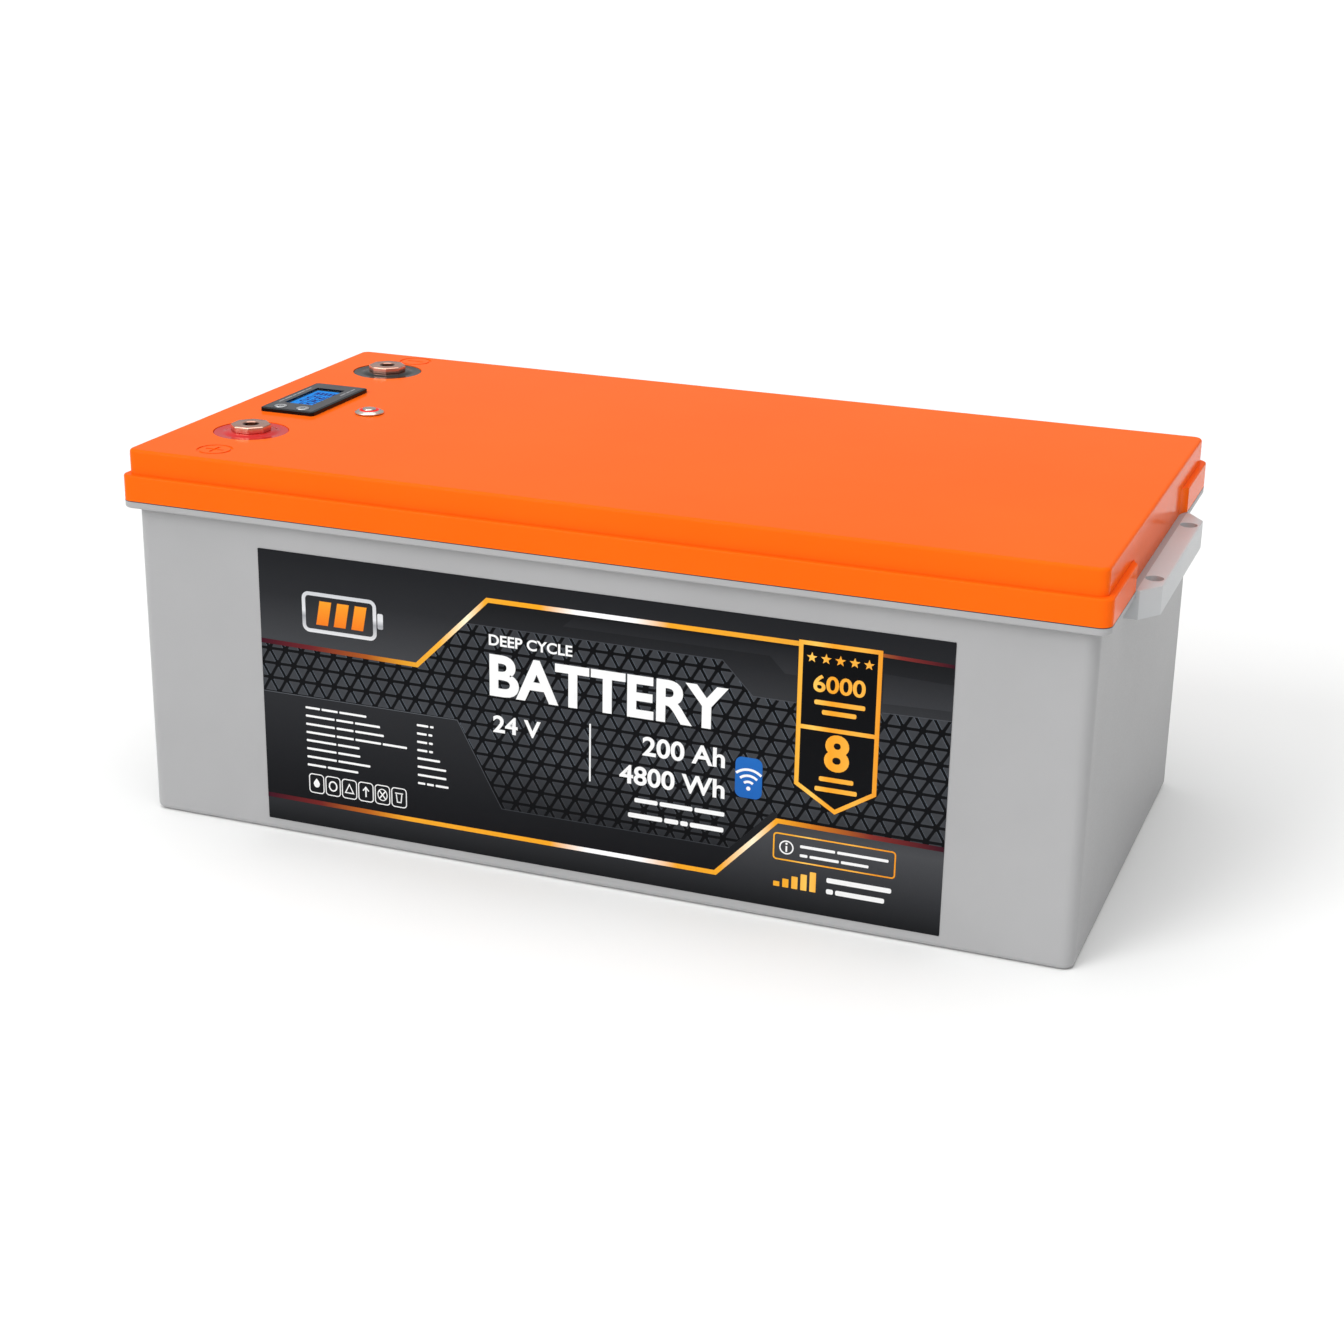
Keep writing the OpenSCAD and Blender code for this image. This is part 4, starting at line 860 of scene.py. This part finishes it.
# Covers outside the two lines, panels over the tiles, brighter steps, and fine lit edges of the panels
margin = 0.1
edge, front = labelWide - margin, labelLook["panelFront"]
upperLine, lowerLine = labelLook["upperLine"], labelLook["lowerLine"]
printed("borders", [
    bandPlate(upperLine, [(margin, labelTall - margin), (edge, labelTall - margin)], 0.0, 0.1),
    bandPlate([(margin, margin), (edge, margin)], lowerLine, 0.0, 0.1)], filmInk)
printed("panels", [
    bandPlate([(0, 14), (76, 13.4), (254.8, 13.4), (286.5, 47.2)],
              [(0, 72.8), (113, 73.2), (137.6, 27.8), (262, 28), (284, 51), (286.5, 51)], 0.0, front),
    bandPlate([(117, 126.5), (256, 126.5), (272, 110), (295, 110)], upperLine, 0.0, front),
    bandPlate([(334, 111), (371, 112)], upperLine, 0.0, front)], panelInk)
printed("steps", [
    bandPlate([(172, 132), (280, 132), (288, 124), (294, 124)], [(172, 132.2), (178, 137.6), (294, 137.6)],
              0.0, front + 0.02),
    bandPlate([(337, 116), (edge, 117)], [(337, 131), (edge, 130)], 0.0, front + 0.02)], stepInk)
panelEdges = [[(0, 72.9), (113, 73.2), (137.6, 27.9), (262, 28)],
              [(118, 126.4), (256, 126.4), (272, 110), (294, 110)], [(337, 111.3), (371, 112)]]
printed("panel_edges", [ribbon(path, 0.4, 0.0, front + 0.01) for path in panelEdges], edgeInk)
lineWidth, lineFront = labelLook["lineWidth"], labelLook["lineFront"]
printed("line_upper", [ribbon(upperLine[:4], lineWidth, 0.0, lineFront),
                       ribbon(upperLine[4:], lineWidth * 0.7, 0.0, lineFront)], foilUpper)
printed("line_lower", [ribbon(lowerLine, lineWidth, 0.0, lineFront)], foilLower)
print("label film, tiles and lines laid")


# Generic words and figures: the letter outlines as a thin plate, scaled to a capital height and set
# left, right or centred at a place on the label
def letters(words, tall, across, up, align="left", weight=0.022, stretch=1.0, high=0.17):
    curve = bpy.data.curves.new("letters", "FONT")
    curve.body, curve.offset, curve.extrude, curve.resolution_u = words, weight, 0.02, 5
    holder = bpy.data.objects.new("letters", curve)
    bpy.context.scene.collection.objects.link(holder)
    bpy.context.view_layer.update()
    mesh = bpy.data.meshes.new_from_object(holder.evaluated_get(bpy.context.evaluated_depsgraph_get()))
    points = np.empty(len(mesh.vertices) * 3)
    mesh.vertices.foreach_get("co", points)
    mesh.calc_loop_triangles()
    faces = np.empty(len(mesh.loop_triangles) * 3, int)
    mesh.loop_triangles.foreach_get("vertices", faces)
    bpy.data.objects.remove(holder)
    bpy.data.meshes.remove(mesh)
    bpy.data.curves.remove(curve)
    x, z, front = points.reshape(-1, 3).T
    size = tall / (z.max() - z.min())
    wide = (x.max() - x.min()) * size * stretch
    start = across - {"left": 0, "right": 1, "centre": 0.5}[align] * wide
    flat = [(x - x.min()) * size * stretch + start, (z - z.min()) * size + up]
    return np.stack([*flat, np.where(front > 0, high, 0.0)], -1), faces.reshape(-1, 3)


# White print: words, then dashes for small print as (across, up, word lengths, height)
whiteParts = [letters("BATTERY", 22.5, 131.5, 89.6, stretch=1.02, weight=0.03),
              letters("DEEP CYCLE", 5.9, 131.3, 116.6, stretch=1.05),
              letters("24 V", 9.4, 133.2, 69.9, stretch=1.1),
              letters("200 Ah", 10.4, 258.6, 70.0, "right", stretch=1.08),
              letters("4800 Wh", 10.2, 258.8, 53.6, "right", stretch=1.08),
              fanPlate(roundedOutline(0.9, 31.2, 0.3) + [186.7, 67.0])]
whiteLines = [(211, 44.2, [12.5, 17.5, 15.8], 2.3), (207.6, 35.6, [18.5, 7.5, 4.0, 17.8], 2.5),
              (298.8, 34.4, [18, 26.0], 1.5), (298.8, 29.6, [4, 15, 14.0], 1.5), (313, 18.2, [33.0], 2.6),
              (313, 12.2, [3.6, 25.0], 2.6)]
tableWords = [[8.5, 9.5, 15.8], [17, 10, 14.6], [17, 10, 16.7], [17, 10, 15, 14.0], [17.5, 12.7], [17.5, 13],
              [17.5, 18.8], [11, 18.0]]
tableValues = [[6.6, 2.0], [5.6, 2.2], [5.8, 2.2], [5.8, 2.2], [13.0], [16.4], [16.4], [4.2, 4.0, 7.4]]
for across, column in ((24.8, tableWords), (89.8, tableValues)):
    whiteLines += [(across, 66.4 - k * 4.62, words, 1.2, 1.0) for k, words in enumerate(column)]
for dashes in whiteLines:
    whiteParts += printLine(*dashes)

# Six rounded squares, each with a plain sign: drop, ring, triangle, arrow, cross and bin
iconTurn = np.linspace(0, 2 * np.pi, 25)[:-1]
circle = np.stack([np.cos(iconTurn), np.sin(iconTurn)], -1)
drop = circle * [1.8, 2.2] * (1 - 0.55 * np.clip(circle[:, 1:], 0, 1) ** 2 * [1, -0.6])
signs = [
    [fanPlate(drop)],
    [ribbon(circle * [2.2, 2.6], 0.8, closed=True)],
    [ribbon([(-2.4, -2.2), (2.4, -2.2), (0, 2.6)], 0.6, closed=True)],
    [ribbon([(0, -2.8), (0, 2.0)], 0.8), ribbon([(-1.7, 0.6), (0, 2.7), (1.7, 0.6)], 0.7)],
    [ribbon([(-2, -2.5), (2, 2.5)], 0.7, high=0.155), ribbon([(-2, 2.5), (2, -2.5)], 0.7),
     ribbon(circle * [2.7, 3.2], 0.5, high=0.15, closed=True)],
    [ribbon([(-1.6, 1.8), (-1.1, -2.6), (1.1, -2.6), (1.6, 1.8)], 0.6), ribbon([(-2.3, 2.4), (2.3, 2.4)], 0.6)]]
for k, sign in enumerate(signs):
    middle = np.array([29.8 + k * 9.75, 24.3, 0])
    whiteParts.append(ribbon(roundedOutline(8.5, 10.6, 1.8) + middle[:2], 0.55, closed=True))
    whiteParts += [(points + middle, faces) for points, faces in sign]
printed("white_print", whiteParts, whiteInk)

# Badge: a gold frame with a pointed foot, split in two, on near-black ground
badge, badgeMiddle = np.array(labelLook["badge"], float), labelLook["badgeMiddle"]
printed("badge_ground", [fanPlate(badge, 0.0, 0.14, badgeMiddle)], bedInk)
goldParts = [ribbon(badge - (badge - badgeMiddle) * 0.03, labelLook["badgeLine"], high=0.18, closed=True),
             ribbon([(295.6, 98.5), (335, 98.5)], 2.2, high=0.175),
             letters("6000", 8.9, 315.4, 117.2, "centre", stretch=1.12),
             letters("8", 19.2, 315.5, 77.2, "centre", weight=0.035)]
starTurn = np.radians(90 + 36 * np.arange(10))
star = np.stack([np.cos(starTurn), np.sin(starTurn)], -1) * np.where(np.arange(10) % 2, 1.15, 2.75)[:, None]
goldParts += [fanPlate(star + [301.2 + 7.1 * k, 134.2], high=0.17) for k in range(5)]
for across, up, word in ((303.2, 110.8, 25.4), (307.2, 106.0, 17.2), (307.0, 71.6, 17.4), (305.0, 66.2, 21.4)):
    goldParts += printLine(across, up, [word], 2.4)
goldParts.append(ribbon(roundedOutline(62, 13.8, 1.6) + [316.2, 33.5], 0.75, closed=True))
# Plain sign of five rising bars
goldParts += [fanPlate(roundedOutline(3.2, 2.6 + 2 * k, 0.3) + [287.2 + 4.7 * k, 13.1 + k]) for k in range(5)]
printed("gold_print", goldParts, badgeGold)
notice = np.array(labelLook["notice"])
printed("notice_ring", [ribbon(circle * 3.4 + notice, 0.7, closed=True),
                        fanPlate(roundedOutline(0.9, 3.2, 0.3) + notice + [0, -0.8]),
                        fanPlate(circle * 0.6 + notice + [0, 2])], whiteInk)

# Blue rounded panel with plain radio waves: three arcs over a dot
radio = np.array(labelLook["radio"])
printed("blue_print", [fanPlate(roundedOutline(14, 21.5, 3.5) + radio, high=0.15)], blueInk)
waveTurn = np.radians(np.linspace(48, 132, 12))
arc = np.stack([np.cos(waveTurn), np.sin(waveTurn)], -1)
printed("waves", [ribbon(arc * reach + radio + [0, -5.4], 1.3, high=0.17) for reach in (3.4, 6.6, 9.8)]
        + [fanPlate(circle * 1.1 + radio + [0, -5.6], high=0.17)], whiteInk)

# Plain battery sign at the upper left: a silver outline with its post, and three slanted bars
printed("sign", [ribbon(roundedOutline(41, 20, 3) + [46.5, 120.5], 2.0, closed=True),
                 fanPlate(roundedOutline(3.2, 8.4, 0.8) + [70.2, 120.5])], silverInk)
slant = np.array([(33, 114), (39.8, 114), (42.2, 127), (35.4, 127)])
printed("sign_bars", [fanPlate(slant + [10.2 * k, 0]) for k in range(3)], emberInk)
print("label print laid")


# Links an object and sets it at a place, with the given directions for its x, y and z
def standAt(thing, right, up, back, at):
    rows = zip(np.stack([right, up, back], 1), at)
    thing.matrix_world = Matrix([(*row, place) for row, place in rows] + [(0, 0, 0, 1)])
    bpy.context.scene.collection.objects.link(thing)


stageLook = {"floor": "f4f4f3 f7f7f6", "floorSize": 40.0, "floorDrop": 0.0002, "room": "fdfeff",
             "walls": 0.42, "ceiling": 0.6, "flag": 0.25}
floorSide = np.linspace(-0.5, 0.5, 9) * stageLook["floorSize"]
floorX, floorY = np.meshgrid(floorSide, floorSide)
floorPoints = np.stack([floorX, floorY, 0 * floorX - stageLook["floorDrop"]], -1).reshape(-1, 3)
floorMesh = bpy.data.meshes.new("studioFloor")
floorMesh.from_pydata(floorPoints.tolist(), [], gridFaces(9, 9, False).tolist())
# Matt white paper, drawn from a roll
floorMesh.materials.append(finish("matPaperFloor", stageLook["floor"], driftMm=900, grainMm=2.0, depthMm=0.02,
                                  rough=(0.75, 0.9)))
floor = bpy.data.objects.new("studioFloor", floorMesh)
bpy.context.scene.collection.objects.link(floor)

# Room: pale overhead, dimmer towards the walls, a dark flag to the right, and plain white where the
# camera sees past the floor
world = bpy.data.worlds.new("studio")
world.use_nodes = True
room = world.node_tree
heading = addNode(room, "SeparateXYZ", {"Vector": addNode(room, "TexCoord").outputs["Generated"]})
glow = addNode(room, "MapRange", {"Value": heading.outputs["Z"], "From Min": 0.0, "From Max": 1.0,
                                  "To Min": stageLook["walls"], "To Max": stageLook["ceiling"]})
flag = addNode(room, "MapRange", {"Value": heading.outputs["X"], "From Min": 0.1, "From Max": 0.9,
                                  "To Min": 1.0, "To Max": stageLook["flag"]})
lit = addNode(room, "Math", {0: glow.outputs["Result"], 1: flag.outputs["Result"]}, operation="MULTIPLY")
seen = addNode(room, "LightPath").outputs["Is Camera Ray"]
strength = addNode(room, "Mix", {"Factor": seen, "A": lit.outputs["Value"], "B": 1.0}, data_type="FLOAT")
background = room.nodes["Background"]
background.inputs["Color"].default_value = paint(stageLook["room"])
room.links.new(strength.outputs["Result"], background.inputs["Strength"])
bpy.context.scene.world = world

# Large soft lamps far off, so that the floor is lit evenly
lightLook = {
    "key": {"from": (-0.50, -0.80, 0.62), "spread": 30, "strength": 1.22},
    "over": {"from": (0.05, -0.15, 1.0), "spread": 70, "strength": 1.6},
    "side": {"from": (0.85, -0.45, 0.45), "spread": 20, "strength": 0.16}}
for name, look in lightLook.items():
    lamp = bpy.data.lights.new(name, "SUN")
    lamp.angle, lamp.energy = math.radians(look["spread"]), look["strength"]
    back = np.array(look["from"]) / np.linalg.norm(look["from"])
    right = np.cross([0, 0, 1], back)
    right = right / np.linalg.norm(right)
    standAt(bpy.data.objects.new(name, lamp), right, np.cross(back, right), back, back * 3)

cameraLook = {"at": (0.42978, -1.14787, 0.51886), "yaw": 0.35906, "pitch": 0.34885, "roll": 0.01755,
              "lens": 63.36, "sensor": 36.0, "clip": (0.05, 60.0)}
yaw, pitch, roll = cameraLook["yaw"], cameraLook["pitch"], cameraLook["roll"]
ahead = np.array([-math.sin(yaw) * math.cos(pitch), math.cos(yaw) * math.cos(pitch), -math.sin(pitch)])
level = np.array([math.cos(yaw), math.sin(yaw), 0.0])
upward = np.cross(level, ahead)
camera = bpy.data.objects.new("camera", bpy.data.cameras.new("camera"))
camera.data.lens, camera.data.sensor_width = cameraLook["lens"], cameraLook["sensor"]
camera.data.clip_start, camera.data.clip_end = cameraLook["clip"]
standAt(camera, math.cos(roll) * level + math.sin(roll) * upward,
        math.cos(roll) * upward - math.sin(roll) * level, -ahead, cameraLook["at"])
bpy.context.scene.camera = camera
bpy.context.scene.view_settings.view_transform = "Standard"
print("stage, light and camera set")
